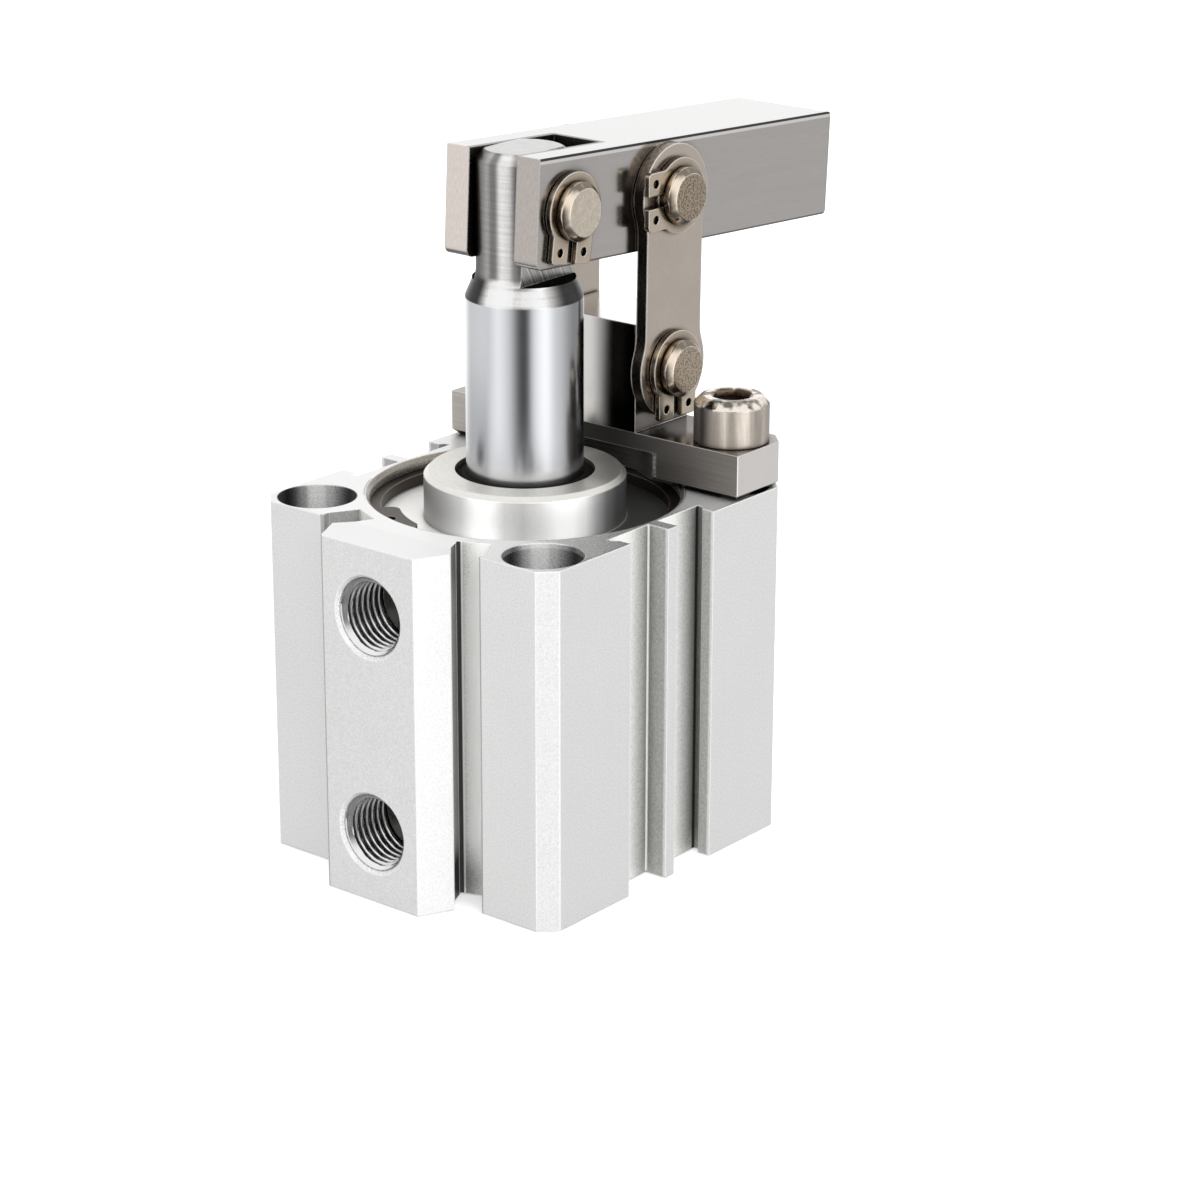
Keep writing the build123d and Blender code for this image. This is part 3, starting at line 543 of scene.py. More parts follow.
def arm_finish():
    """Ground and nickel plated bar: lines along it on the sides, tool lines on the ends of its fork, and
    a painted shade line beside a painted highlight line where the sides meet the top."""
    f = Finish("ground nickel plated bar", metallic=1.0)
    across, along, up = f.turned_to(PIVOT_A, ARM_TILT)
    lines = f.noise(f.vector(across * 9.0, along * 0.30, up * 9.0), 1.0, 3.0, 0.6)
    broad = f.noise(f.vector(across * 0.4, along * 0.05, up * 0.5), 1.0, 2.0)
    end = f.step(along, 0.15 - ARM_REAR, 0.05 - ARM_REAR)
    cuts = f.noise(f.vector(across * 5.0, 0.0, up * 0.9), 1.0, 4.0, 0.7)
    wide = f.math("ABSOLUTE", across)
    beside_slot = f.step(along, FORK_DEPTH + 0.6, FORK_DEPTH + 0.3)
    fork = f.step(wide, TONGUE_HALF + 0.25, TONGUE_HALF + 0.15) * beside_slot
    top = f.step(up, ARM_HALF - 0.06, ARM_HALF - 0.02)
    flank = f.step(wide, HALF_WIDTH - 0.07, HALF_WIDTH - 0.03) * (1 - end)
    dark_line = f.step(up, ARM_HALF - 0.50, ARM_HALF - 0.40)
    light_line = f.step(up, ARM_HALF - 1.05, ARM_HALF - 0.90)
    foot_line = f.step(up, 0.34 - ARM_HALF, 0.26 - ARM_HALF)
    tip_line = f.step(along, ARM_TIP - 0.30, ARM_TIP - 0.22)
    normal, edge = f.soft_edges(0.28)
    deep = f.crevice(3.0, 0.92, 0.45)
    shade = 0.94 + 0.16 * (lines - 0.5) + 0.10 * (broad - 0.5)
    side = f.tinted((0.575, 0.552, 0.528), shade)
    # Painted light: the end faces of the fork are lighter on one cheek
    cut = 0.84 + 0.75 * (cuts - 0.5) + 0.38 * f.step(across, 0.0, -2.0)
    sawn = f.tinted((0.74, 0.67, 0.63), cut)
    colour = f.mix(end, side, sawn)
    # Painted shade: the walls of the fork slot are painted dark
    colour = f.mix(fork * 0.85, colour, (0.12, 0.11, 0.10))
    colour = f.mix(top * (1 - fork), colour, (0.60, 0.595, 0.59))
    # Painted shade: a black line on the top beside the fork slot
    lip = f.step(wide, TONGUE_HALF + 0.95, TONGUE_HALF + 0.75) * beside_slot
    colour = f.mix(top * lip * 0.95, colour, (0.03, 0.027, 0.024))
    # Painted shade in the corners
    colour = f.mix(deep * (1 - end) * 0.85, colour, (0.07, 0.055, 0.042))
    # Painted highlights on the edges, and a painted highlight line below the top of each side
    colour = f.mix(edge * 0.7, colour, (0.93, 0.91, 0.88))
    colour = f.mix(light_line * flank * 0.8, colour, (0.97, 0.96, 0.94))
    # Painted shade: dark lines below the top edge, along the bottom edge and at the tip of each side
    outline = f.math("MAXIMUM", dark_line, f.math("MAXIMUM", foot_line * 0.7, tip_line * 0.2))
    colour = f.mix(outline * flank * 0.95, colour, (0.03, 0.027, 0.024))
    f.feed("Base Color", colour)
    f.feed("Roughness", 0.17 + 0.12 * (lines - 0.5) + 0.24 * end + 0.1 * fork)
    f.feed("Normal", f.bump(lines * (1 - end) * 0.5 + cuts * end, 0.010, normal))
    return f


def bracket_finish():
    """Ground and nickel plated steel, close to a mirror, with turned rings in the relief over the collar, a
    painted shade on the plate's front, and painted dark reflections on the plate beside the post and on the
    post's front."""
    f = Finish("ground nickel plated bracket")
    x, y, z = f.x, f.y, f.z
    from_axis = f.length(x, y)
    relief = f.step(from_axis, 22.9, 22.6) * f.step(z, 67.95, 67.85)
    rings = f.noise(f.vector(from_axis * 3.0, z * 3.0, 0.0), 1.0, 3.0, 0.7)
    lines = f.noise(f.vector(x * 0.08, y * 5.0, z * 5.0), 1.0, 4.0, 0.6)
    upright = f.noise(f.vector(x * 5.0, y * 5.0, z * 0.08), 1.0, 4.0, 0.6)
    post = f.step(z, PLATE_TOP - 0.1, PLATE_TOP + 0.1)
    grain = lines * (1 - post) + upright * post
    broad = f.noise(f.place, 0.08, 2.0)
    normal, edge = f.soft_edges(0.25)
    deep = f.crevice(1.8)
    shade = 0.94 + 0.14 * (grain - 0.5) + 0.10 * (broad - 0.5)
    wide = f.math("ABSOLUTE", x)
    front = f.step(y, POST_FRONT + 0.25, POST_FRONT + 0.1)
    plate = f.tinted((0.70, 0.67, 0.63), shade)
    slab = front * (1 - post)
    # Painted shade: the plate's front is near black in the middle and lighter towards its ends
    plate_front = 0.012 + f.step(x, 3.0, 16.0, 0.0, 0.07) + f.step(x, 14.0, 30.0, 0.0, 0.10)
    plate_front = (plate_front + 0.45 * f.step(x, -18.0, -25.0)) * (shade + 0.5 * (lines - 0.5))
    plate = f.mix(slab, plate, f.tinted((1.06, 0.98, 0.90), plate_front))
    # Painted light: the rings in the relief are lighter towards positive X
    turned = f.step(rings, 0.30, 0.70, 0.02, 0.62) * f.step(x, 9.0, 18.0, 0.15, 1.0)
    hollow = f.tinted((1.00, 0.95, 0.88), turned)
    plate_top = f.step(z, PLATE_TOP - 0.08, PLATE_TOP - 0.02) * f.step(z, PLATE_TOP + 0.3, PLATE_TOP + 0.1)
    # Painted reflection: the plate's top is dark beside the post
    far = f.step(wide, HALF_WIDTH, 29.0)
    plate_top_reflection = f.mix(far, (0.05, 0.045, 0.04), (0.31, 0.295, 0.27))
    crown = f.step(z, POST_TOP - 0.1, POST_TOP - 0.02)
    colour = f.mix(relief, plate, hollow)
    colour = f.mix(plate_top * 0.95, colour, plate_top_reflection)
    # Painted reflection: the post's front is light towards negative X and near black towards positive X
    colour = f.mix(front * post, colour, (0.90, 0.88, 0.85))
    colour = f.mix(front * post * f.step(x, -0.6, 5.2), colour, (0.012, 0.011, 0.010))
    plate_end = f.step(wide, BODY_HALF - 0.08, BODY_HALF - 0.02) * (1 - post)
    colour = f.mix(plate_end, colour, f.tinted((0.95, 0.905, 0.885), shade))
    colour = f.mix(crown, colour, (0.97, 0.97, 0.96))
    # Painted shade in the corners
    colour = f.mix(deep * (0.85 - 0.75 * relief), colour, (0.06, 0.05, 0.04))
    # Painted highlight along the edges
    colour = f.mix(edge * (0.75 - 0.35 * slab - 0.40 * plate_end), colour, (0.97, 0.95, 0.92))
    f.feed("Base Color", colour)
    f.feed("Metallic", 1.0 - 0.75 * slab - 0.6 * relief)
    f.feed("Roughness", 0.17 + 0.12 * (grain - 0.5) + 0.12 * relief + 0.28 * slab)
    f.feed("Normal", f.bump(grain * (1 - relief) + rings * relief, 0.006, normal))
    return f


def link_finish():
    """Punched and nickel plated link: satin face, grainy cut all round, darker than the face, with painted
    shade where the cut faces sideways.
    """
    f = Finish("nickel plated link", metallic=1.0)
    from_middle = f.math("ABSOLUTE", f.math("ABSOLUTE", f.x) - LINK_MIDDLE)
    face = f.step(from_middle, LINK_HALF - 0.08, LINK_HALF - 0.02)
    lines = f.noise(f.vector(f.x * 6.0, f.y * 5.0, f.z * 0.3), 1.0, 4.0, 0.6)
    grain = f.noise(f.place, 2.4, 3.0, 0.6)
    broad = f.noise(f.place, 0.10, 2.0)
    normal, edge = f.soft_edges(0.42)
    upward = f.facing()[2]
    deep = f.crevice(1.2)
    shade = 0.96 + 0.12 * (lines - 0.5) + 0.14 * (broad - 0.5) + 0.10 * (grain - 0.5)
    plate = f.tinted((0.64, 0.568, 0.495), shade)
    # Painted light and shade: the cut is painted dark on its sides and lighter where it faces up
    rim = (0.62 + 1.6 * (grain - 0.5)) * f.step(upward, 0.1, 0.7, 0.35, 1.8)
    cut = f.tinted((0.24, 0.20, 0.165), rim)
    colour = f.mix(face, cut, plate)
    # Painted shade in the corners
    colour = f.mix(deep * 0.85, colour, (0.10, 0.075, 0.055))
    # Painted highlight along the edges
    f.feed("Base Color", f.mix(edge * 0.9, colour, (0.99, 0.95, 0.89)))
    f.feed("Roughness", 0.22 + 0.10 * (lines - 0.5) + 0.22 * (1 - face) * grain)
    f.feed("Normal", f.bump(lines * face * 0.3 + grain * (1 - face), 0.015, normal))
    return f


def ring_finish():
    """Punched spring steel, nickel plated in the links' champagne tone, with painted shade where it meets
    its neighbours and painted reflections in light and dark stretches round its rim."""
    f = Finish("plated spring steel", metallic=1.0)
    grain = f.noise(f.place, 2.8, 3.0, 0.6)
    broad = f.noise(f.place, 0.35, 2.0)
    normal, edge = f.soft_edges(0.32)
    deep = f.crevice(1.8, 0.96, 0.50)
    shade = 0.95 + 0.18 * (grain - 0.5) + 0.30 * (broad - 0.5)
    rim = f.step(f.math("ABSOLUTE", f.facing()[0]), 0.9, 0.7)
    # Painted reflections: light and dark stretches round the rim
    shade = shade * (1 + rim * (1.55 * f.flashes() - 0.88))
    plate = f.tinted((0.66, 0.565, 0.455), shade)
    # Painted shade where the ring meets its neighbours
    plate = f.mix(deep * 0.95, plate, (0.05, 0.032, 0.02))
    # Painted highlight along the edges
    f.feed("Base Color", f.mix(edge * 0.85, plate, (0.98, 0.93, 0.85)))
    f.feed("Roughness", 0.14 + 0.08 * (grain - 0.5))
    f.feed("Normal", f.bump(grain, 0.004, normal))
    return f


def pin_finish(name, node, amount):
    """Plated hinge pin: turned shaft and chamfer, and an end face with some amount of blasted grain."""
    f = Finish(name, metallic=1.0)
    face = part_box(node)[1].x / MM
    end = f.step(f.math("ABSOLUTE", f.x), face - 0.06, face - 0.02)
    grain = f.noise(f.place, 2.6, 3.0, 0.7)
    rings = f.noise(f.vector(f.x * 6.0, 0.0, 0.0), 1.0, 2.0)
    deep = f.crevice(1.6, 0.90, 0.45)
    speckle = f.step(grain, 0.53, 0.43) * amount
    shade = 0.95 + 0.14 * (rings - 0.5) * (1 - end) + 0.08 * (grain - 0.5)
    swirl = f.noise(f.place, 0.9, 2.0)
    bright = shade * (1 + 0.5 * (swirl - 0.5))
    plated = f.tinted((0.86, 0.775, 0.66), bright)
    # Painted reflections: light and dark stretches round the shaft
    round_about = shade * (0.30 + f.flashes(2.0))
    shaft = f.tinted((0.76, 0.655, 0.53), round_about)
    plated = f.mix(end, shaft, plated)
    blasted = f.tinted((0.54, 0.455, 0.355), shade)
    colour = f.mix(end * amount, plated, blasted)
    colour = f.mix(end * speckle * 0.9, colour, (0.16, 0.115, 0.075))
    # Painted shade where the pin meets its neighbours
    colour = f.mix(deep * (1 - end) * 0.95, colour, (0.05, 0.032, 0.02))
    normal, edge = f.soft_edges(0.25)
    # Painted highlight along the edges
    f.feed("Base Color", f.mix(edge * 0.5, colour, (0.98, 0.93, 0.86)))
    f.feed("Roughness", 0.10 + 0.06 * rings + end * (0.09 + 0.30 * amount * grain))
    f.feed("Normal", f.bump(grain * end * amount + 0.05 * rings * (1 - end), 0.05, normal))
    return f


def screw_finish():
    """Plated socket screw: bright turned head with painted reflections round its side, painted dark brown
    as shade and dull in the socket.
    """
    f = Finish("plated socket screw")
    from_middle = f.length(f.math("ABSOLUTE", f.x) - HOLE_PITCH / 2, f.y - HOLE_PITCH / 2)
    socket = f.step(from_middle, SOCKET_APOTHEM + 0.75, SOCKET_APOTHEM + 0.45)
    rings = f.noise(f.vector(from_middle * 5.0, f.z * 5.0, 0.0), 1.0, 3.0)
    grain = f.noise(f.place, 1.8, 3.0, 0.6)
    dents = f.noise(f.place, 0.9, 2.0)
    high = f.top("bracket_screws")
    crown = f.step(f.z, high - CROWN_HEIGHT - 0.3, high - CROWN_HEIGHT + 0.1)
    upright = f.noise(f.vector(f.x * 1.6, f.y * 1.6, f.z * 0.12), 1.0, 3.0, 0.6)
    shade = 0.94 + 0.12 * (rings - 0.5) + 0.16 * (grain - 0.5) + 0.75 * (upright - 0.5) * (1 - crown)
    patches = shade * f.step(f.noise(f.place, 0.45, 1.5), 0.38, 0.54, 0.22, 1.15)
    head = f.tinted((0.88, 0.81, 0.725), patches)
    place_x = f.x - f.math("SIGN", f.x) * (HOLE_PITCH / 2)
    sideways = f.across(place_x, f.y - HOLE_PITCH / 2, from_middle)
    # Painted reflections: light and dark stretches round the side of the head
    side = f.step(from_middle, HEAD_RADIUS - 0.15, HEAD_RADIUS - 0.05) * (1 - crown)
    bands = f.bands(sideways, [
        (-1.0, 0.18), (-0.80, 0.04), (-0.60, 0.24), (-0.36, 0.40), (-0.21, 0.64), (-0.06, 0.36),
        (0.08, 0.46), (0.22, 0.66), (0.36, 0.62), (0.50, 0.34), (0.66, 0.24), (0.80, 0.36), (0.95, 0.20),
    ])
    tint = f.tinted((1.02, 0.905, 0.79), shade)
    banded = f.add("ShaderNodeVectorMath", {"operation": "MULTIPLY"}, {0: bands, 1: tint}, "Vector")
    head = f.mix(side, head, banded)
    # Painted shade in the corners
    head = f.mix(f.crevice(1.2) * 0.9, head, (0.07, 0.05, 0.035))
    normal, edge = f.soft_edges(0.25)
    # Painted highlight along the edges
    head = f.mix(edge * 0.5, head, (0.98, 0.95, 0.90))
    # Painted shade: the socket is painted dark brown
    f.feed("Base Color", f.mix(socket, head, (0.20, 0.15, 0.11)))
    f.feed("Metallic", 1.0 - 0.70 * side)
    f.feed("Roughness", 0.26 + 0.08 * rings - 0.12 * crown + 0.10 * socket)
    f.feed("Normal", f.bump(rings * 0.3 + grain * 0.3 + dents * crown * 5.0, 0.014, normal))
    return f


def thread_finish():
    """Bright cut aluminium of the port threads, with painted shade in the roots."""
    f = Finish("cut thread in aluminium", metallic=1.0)
    grain = f.noise(f.place, 1.5, 3.0, 0.6)
    deep = f.crevice(0.8, 0.75, 0.30)
    level = 0.86 + 0.10 * grain
    cut = f.vector(level, level, level)
    # Painted shade in the thread roots
    f.feed("Base Color", f.mix(deep * 0.92, cut, (0.05, 0.05, 0.05)))
    f.feed("Roughness", 0.18 + 0.12 * grain)
    f.feed("Normal", f.bump(grain, 0.01))
    return f


def plain_finish(name, colour, rough, grain_scale, depth, metallic=0.0):
    """Rubber, plastic or sintered metal: even colour with a grain."""
    f = Finish(name, metallic=metallic)
    f.plug(f.shader.inputs["Specular IOR Level"], 0.05)
    grain = f.noise(f.place, grain_scale, 3.0, 0.6)
    normal, edge = f.soft_edges(0.15)
    shade = 0.85 + 0.3 * grain
    f.feed("Base Color", f.tinted(colour, shade))
    f.feed("Roughness", rough + 0.15 * (grain - 0.5) - 0.1 * edge)
    f.feed("Normal", f.bump(grain, depth, normal))
    return f


def dark_ring_finish():
    """Phosphated spring steel of the retaining rings in the bore."""
    f = Finish("phosphated spring steel", metallic=0.8)
    grain = f.noise(f.place, 2.6, 3.0, 0.6)
    normal, edge = f.soft_edges(0.2)
    shade = 0.8 + 0.4 * grain
    dark = f.tinted((0.05, 0.040, 0.030), shade)
    # Painted highlight along the edges
    f.feed("Base Color", f.mix(edge, dark, (0.52, 0.48, 0.42)))
    f.feed("Roughness", 0.36 + 0.15 * (grain - 0.5))
    f.feed("Normal", f.bump(grain, 0.012, normal))
    return f


def softened(outline, cut, steps=5):
    """Outline whose inner corners P are replaced by curves (1-s)^2 (P+a) + 2 s (1-s) P + s^2 (P+b),
    where a and b point along the two edges, as long as cut or two fifths of the edge."""
    points = np.asarray(outline, float)
    before = points[:-2] - points[1:-1]
    after = points[2:] - points[1:-1]
    sizes = [np.linalg.norm(edge, axis=1, keepdims=True) for edge in (before, after)]
    a = before / sizes[0] * np.minimum(cut, 0.4 * sizes[0])
    b = after / sizes[1] * np.minimum(cut, 0.4 * sizes[1])
    s = np.linspace(0, 1, steps)[None, :, None]
    p = points[1:-1, None, :]
    curves = (1 - s) ** 2 * (p + a[:, None]) + 2 * s * (1 - s) * p + s**2 * (p + b[:, None])
    return np.vstack([points[:1], curves.reshape(-1, 2), points[-1:]])


def filled_in(outline, longest):
    """Outline with more points wherever two neighbours are further apart than a length."""
    sizes = np.linalg.norm(np.diff(outline, axis=0), axis=1)
    counts = np.maximum(1, np.ceil(sizes / longest).astype(int))
    places = np.repeat(np.arange(len(counts)), counts)
    inside = np.arange(counts.sum()) - np.repeat(np.cumsum(counts) - counts, counts)
    share = (inside / counts[places])[:, None]
    rows = outline[places] * (1 - share) + outline[places + 1] * share
    return np.vstack([rows, outline[-1:]])


def skin(name, rows, body, finish, ends="poles"):
    """Mesh over a grid of points, rows by columns, that closes on itself along each row.
    With poles, one point in the middle closes each end; with a loop, the last row meets the first."""
    count, columns = rows.shape[:2]
    points = rows.reshape(-1, 3)
    loops = count if ends == "loop" else count - 1
    r = np.arange(loops)[:, None]
    c = np.arange(columns)[None, :]
    here = r * columns
    there = ((r + 1) % count) * columns
    right = (c + 1) % columns
    quads = np.stack([here + c, here + right, there + right, there + c], axis=-1).reshape(-1, 4)
    faces = quads.tolist()
    if ends == "poles":
        points = np.vstack([points, rows[0].mean(0), rows[-1].mean(0)])
        first = len(points) - 2
        c = np.arange(columns)
        right = (c + 1) % columns
        last = (count - 1) * columns
        faces += np.stack([np.full(columns, first), right, c], axis=-1).tolist()
        faces += np.stack([np.full(columns, first + 1), last + c, last + right], axis=-1).tolist()
    mesh = bpy.data.meshes.new(name)
    mesh.from_pydata((points * MM).tolist(), [], faces)
    mesh.polygons.foreach_set("use_smooth", np.ones(len(mesh.polygons), bool))
    mesh.update()
    mesh.set_sharp_from_angle(angle=math.radians(32))
    piece = bpy.data.objects.new(name, mesh)
    bpy.context.scene.collection.objects.link(piece)
    mesh.materials.append(finish.material)
    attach(piece, body)
    return piece


def turned_rows(outline, columns):
    """Rows of a turned surface: (radius cos u, radius sin u, height) for each outline point and angle u."""
    turn = np.linspace(0, 2 * np.pi, columns, endpoint=False)
    radius = outline[:, :1]
    height = np.repeat(outline[:, 1:], columns, axis=1)
    return np.stack([radius * np.cos(turn), radius * np.sin(turn), height], axis=-1)


def rod_piece(finish):
    """Turned rod: a surface of (radius cos u, radius sin u, height). Above the ledge X is held between
    plus and minus half the tongue, which leaves its two flats."""
    low, high = (corner.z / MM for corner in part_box("piston_rod"))
    below = [
        (AXIS_GAP, low), (ROD_SHANK_RADIUS, low), (ROD_SHANK_RADIUS, ROD_SHANK_TOP),
        (ROD_RADIUS, ROD_SHANK_TOP), (ROD_RADIUS, CONE_FOOT), (NECK_RADIUS, CONE_FOOT + CONE_HEIGHT),
    ]
    above = [(NECK_RADIUS, high - ROD_TIP_CHAMFER), (NECK_RADIUS - ROD_TIP_CHAMFER, high), (AXIS_GAP, high)]
    cuts = np.array([[0.5], [0.5], [0.5], [0.5], [1.6], [0.5], [0.5]])
    outline = filled_in(softened(below + above, cuts, 9), 0.8)
    rows = turned_rows(outline, 448)
    split = np.searchsorted(outline[:, 1], LEDGE_HEIGHT)
    ledge = rows[split - 1].copy()
    ledge[:, 2] = LEDGE_HEIGHT
    rows = np.concatenate([rows[:split], ledge[None], ledge[None], rows[split:]])
    rows[split + 1 :, :, 0] = np.clip(rows[split + 1 :, :, 0], -TONGUE_HALF, TONGUE_HALF)
    return skin("piston_rod_turned", rows, "rod", finish)


def screw_piece(name, place, finish):
    """Socket head screw: a turned outline, then rows whose radius is apothem / cos(u mod 60 - 30) for the
    six flats of the socket, and a cone at the bottom."""
    low, high = (corner.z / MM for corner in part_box("bracket_screws"))
    seat = high - HEAD_HEIGHT
    outline = [(AXIS_GAP, low), (SCREW_RADIUS - 0.1, low), (SCREW_RADIUS, low + 0.8), (SCREW_RADIUS, seat)]
    outline += [(HEAD_RADIUS, seat), (HEAD_RADIUS, high - CROWN_HEIGHT), (HEAD_RADIUS - CROWN_HEIGHT, high)]
    outline += [(SOCKET_APOTHEM + 0.7, high)]
    columns = 192
    rows = turned_rows(filled_in(softened(outline, 0.25), 1.0), columns)
    u = np.linspace(0, 2 * np.pi, columns, endpoint=False)
    flats = SOCKET_APOTHEM / np.cos(u % (np.pi / 3) - np.pi / 6)
    depth = np.array([0.22, 0.45, 2.0, 3.9, 4.0, 5.2])[:, None]
    share = np.array([1.03, 1.0, 1.0, 1.0, 0.97, 0.01])[:, None]
    radius = flats * share
    socket = np.stack([radius * np.cos(u), radius * np.sin(u), (high - depth) + 0 * radius], axis=-1)
    rows = np.concatenate([rows, socket]) + np.array([place, HOLE_PITCH / 2, 0.0])
    return skin(name, rows, "body", finish)


def thread_piece(name, height, finish):
    """Helical thread in a port. At depth a and angle u the radius is the wall less the thread's height
    times a rounded wave of a / pitch + u / turn, cut back by the chamfer and run out at the bottom."""
    depth = np.arange(0.66, PORT_DEPTH - 0.3, THREAD_PITCH / 14)
    turn = np.linspace(0, 2 * np.pi, 120, endpoint=False)
    a, u = np.meshgrid(depth, turn, indexing="ij")
    phase = (a / THREAD_PITCH + u / (2 * np.pi)) % 1
    wave = np.clip(1.25 - 2.5 * np.abs(phase - 0.5), 0, 1)
    wave = wave * wave * (3 - 2 * wave)
    wall = PORT_DIAMETER / 2 - 0.02
    fade = np.clip((PORT_DEPTH - 0.6 - a) / 1.2, 0, 1)
    inner = wall - THREAD_HEIGHT * wave * fade
    inner = np.maximum(inner, wall - np.maximum(a - PORT_CHAMFER, 0))
    outer = np.full((2, len(turn)), wall + 0.01)
    radius = np.vstack([outer[:1], inner, outer[1:]])
    place = np.vstack([a[:1], a, a[-1:]])
    u = np.vstack([u[:1], u, u[-1:]])
    rows = np.stack([radius * np.cos(u), place - BOSS_FACE, height + radius * np.sin(u)], axis=-1)
    return skin(name, rows, "body", finish, ends="loop")


def pin_piece(name, node, body, finish):
    """Turned pin: a surface of (place, radius cos u, radius sin u) with softened chamfers and the two ring
    grooves."""
    low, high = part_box(node)
    middle = (low + high) / 2
    end = (high.x - low.x) / 2 / MM
    groove_low = end - GROOVE_PLACE
    groove_high = groove_low + GROOVE_WIDTH
    half = [(AXIS_GAP, end), (PIN_RADIUS - PIN_CHAMFER, end), (PIN_RADIUS, end - PIN_CHAMFER)]
    half += [(PIN_RADIUS, groove_high), (GROOVE_RADIUS, groove_high)]
    half += [(GROOVE_RADIUS, groove_low), (PIN_RADIUS, groove_low)]
    outline = [(radius, -place) for radius, place in half] + half[::-1]
    outline = filled_in(softened(outline, 0.22), 1.0)
    rows = turned_rows(outline, 144)
    rows = np.stack([rows[..., 2], rows[..., 0], rows[..., 1]], axis=-1)
    rows = rows + np.array([middle.x, middle.y, middle.z]) / MM
    return skin(name, rows, body, finish)


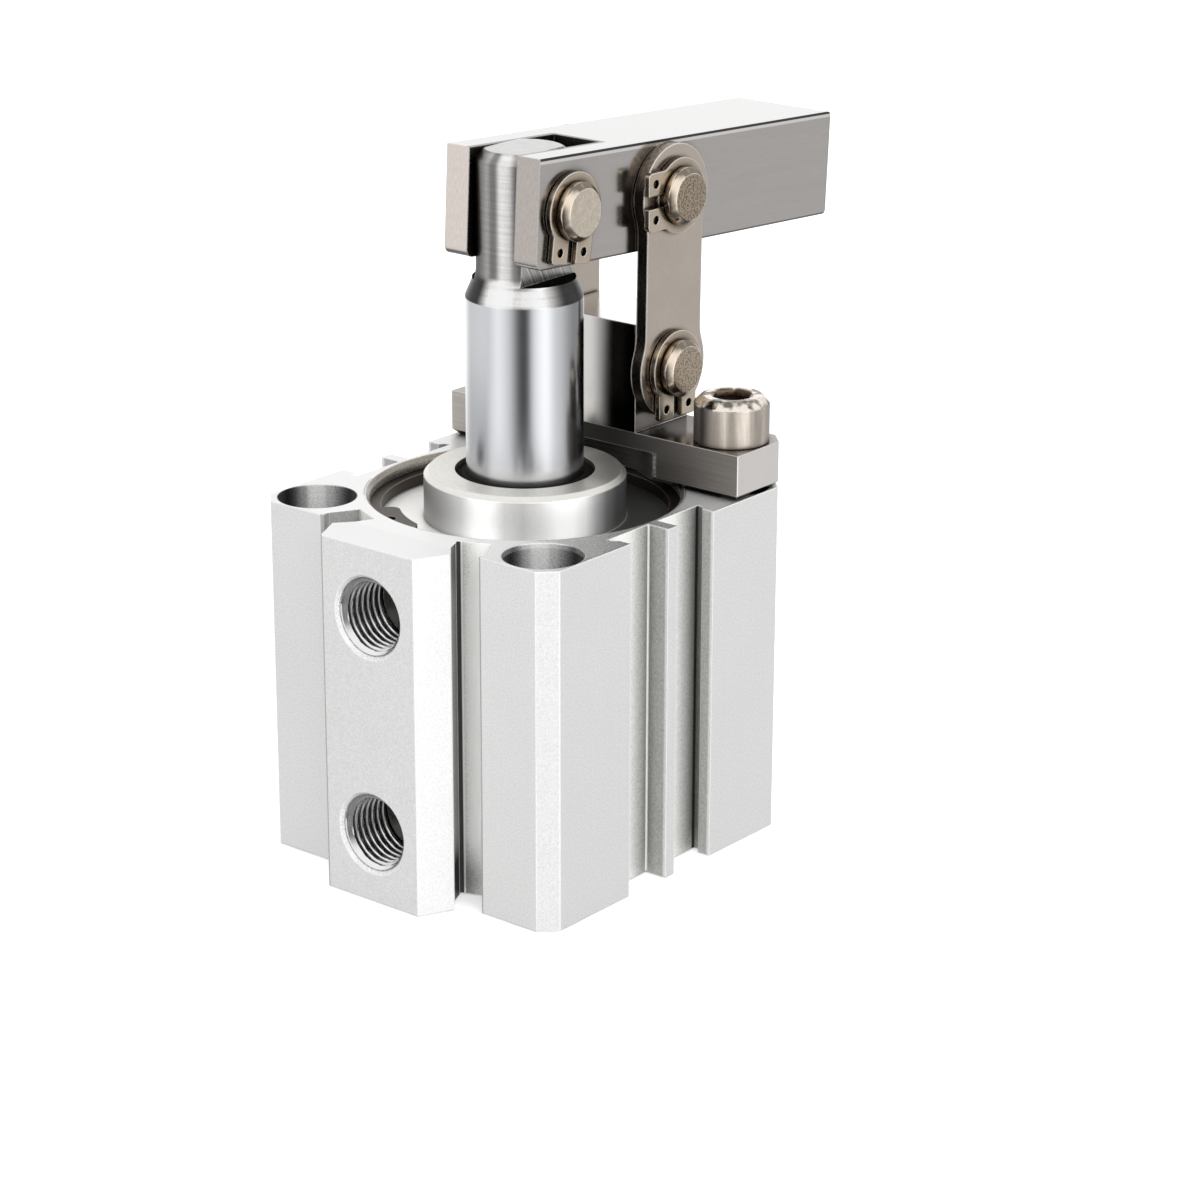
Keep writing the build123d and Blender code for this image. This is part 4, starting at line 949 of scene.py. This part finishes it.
def studio():
    """Camera, pale floor, soft lights, and surroundings with the bright and dark stretches that the
    polished metal of the photograph mirrors."""
    scene = bpy.context.scene
    scene.view_settings.view_transform = "Standard"
    data = bpy.data.cameras.new("camera")
    camera = bpy.data.objects.new("camera", data)
    scene.collection.objects.link(camera)
    data.sensor_fit = "HORIZONTAL"
    data.sensor_width = 36.0
    data.lens = CAMERA_LENS
    data.clip_start = 0.05
    data.clip_end = 20.0
    place = Vector(CAMERA_PLACE) * MM
    aim = Vector(CAMERA_TARGET) * MM - place
    facing = aim.to_track_quat("-Z", "Y").to_matrix().to_4x4()
    roll = Matrix.Rotation(math.radians(CAMERA_ROLL), 4, "Z")
    camera.matrix_world = Matrix.Translation(place) @ facing @ roll
    scene.camera = camera

    world = bpy.data.worlds.new("soft studio")
    scene.world = world
    world.use_nodes = True
    w = Board(world.node_tree)
    background = world.node_tree.nodes["Background"]
    x, y, z = w.split(w.add("ShaderNodeTexCoord", None, None, "Generated"))
    turn = w.math("ARCTAN2", y, x) / (2 * math.pi) + 0.5
    bright = [
        (-180, 0.69), (-140, 0.75), (-122, 0.73), (-104, 1.0), (-96, 0.96), (-86, 0.80), (-78, 0.65),
        (-70, 0.39), (-62, 0.15), (-56, 0.08), (-49, 0.055), (-44, 0.11), (-40, 0.29), (-36, 0.62),
        (-30, 0.85), (-22, 1.05), (-12, 1.22), (-4, 1.20), (3, 0.98), (11, 0.77), (20, 0.65), (32, 0.61),
        (43, 0.62), (55, 0.67), (93, 0.72), (108, 0.86), (118, 1.22), (150, 1.22), (180, 0.69),
    ]
    stops = [((angle + 180) / 360, level) for angle, level in bright]
    round_about = w.add("ShaderNodeValToRGB", None, {"Fac": turn}, "Color", stops)
    high = w.step(z, 0.05, 0.60)
    low = w.step(z, -0.50, -0.78)
    colour = w.mix(high, round_about, (0.95, 0.95, 0.95))
    colour = w.mix(low, colour, (0.22, 0.22, 0.22))
    camera_ray = w.add("ShaderNodeLightPath", None, None, "Is Camera Ray")
    colour = w.mix(camera_ray, colour, (1.0, 1.0, 1.0))
    w.plug(background.inputs["Color"], colour)
    background.inputs["Strength"].default_value = 1.0

    half = 3.0
    mesh = bpy.data.meshes.new("floor")
    corners = [(-half, -half, 0), (half, -half, 0), (half, half, 0), (-half, half, 0)]
    mesh.from_pydata(corners, [], [(0, 1, 2, 3)])
    floor = bpy.data.objects.new("floor", mesh)
    floor.location.z = -FLOOR_GAP * MM
    floor.visible_glossy = False
    scene.collection.objects.link(floor)
    paint = Finish("pale floor", roughness=0.9, base_color=(0.80, 0.80, 0.80))
    cloud = paint.noise(paint.place, 0.004, 2.0)
    level = 0.80 + 0.02 * cloud
    paint.feed("Base Color", paint.vector(level, level, level))
    paint.plug(paint.shader.inputs["Emission Color"], (1.0, 1.0, 1.0))
    paint.plug(paint.shader.inputs["Emission Strength"], 0.45)
    mesh.materials.append(paint.material)

    for name, power, size, where in (
        ("key light", 9.0, 0.8, (0.95, -0.5, 0.8)),
        ("top light", 4.0, 0.9, (-0.2, 0.2, 1.2)),
    ):
        lamp = bpy.data.lights.new(name, "AREA")
        lamp.energy = power
        lamp.size = size
        light = bpy.data.objects.new(name, lamp)
        light.location = where
        light.rotation_euler = (Vector((0, 0, 0.06)) - Vector(where)).to_track_quat("-Z", "Y").to_euler()
        light.visible_glossy = False
        scene.collection.objects.link(light)


studio()

put_on(body_finish(), "cylinder_body")
put_on(cover_finish(), "front_cover")
put_on(turned_finish(), "rear_cover", "piston")
put_on(arm_finish(), "clamp_arm")
put_on(bracket_finish(), "pivot_bracket")
put_on(link_finish(), "link_right", "link_left")
put_on(ring_finish(), "rod_pin_rings", "arm_pin_rings", "post_pin_rings")
plated = screw_finish()
put_on(plated, "piston_nut")
for word, place in (("right", HOLE_PITCH / 2), ("left", -HOLE_PITCH / 2)):
    screw = screw_piece(f"{word}_bracket_screw", place, plated)
    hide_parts("bracket_screws")
put_on(dark_ring_finish(), "front_retaining_ring", "rear_retaining_ring")
rod = rod_piece(rod_finish())
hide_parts("piston_rod")
put_on(plain_finish("black seal rubber", (0.010, 0.009, 0.008), 0.7, 1.5, 0.01),
       "front_cover_o_ring", "rear_cover_o_ring", "rod_seal", "rod_wiper", "front_bumper", "rear_bumper",
       "piston_rear_seal", "piston_front_seal")
put_on(plain_finish("sintered bronze", (0.62, 0.48, 0.26), 0.35, 2.5, 0.01, 1.0), "rod_bush")
put_on(plain_finish("filled guide plastic", (0.20, 0.20, 0.21), 0.5, 2.0, 0.01), "piston_guide_ring")
put_on(plain_finish("bonded magnet", (0.10, 0.10, 0.11), 0.45, 2.0, 0.01), "piston_magnet")

for node, body, amount in (("rod_pin", "rod", 0.12), ("arm_pin", "links", 1.0), ("post_pin", "body", 0.8)):
    plating = pin_finish(f"plated {node.replace('_', ' ')}", node, amount)
    pin = pin_piece(f"{node}_turned", node, body, plating)
    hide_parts(node)

cut_thread = thread_finish()
for word, height in (("rear", PORT_HEIGHTS[0]), ("front", PORT_HEIGHTS[1])):
    thread_piece(f"{word}_port_thread", height, cut_thread)
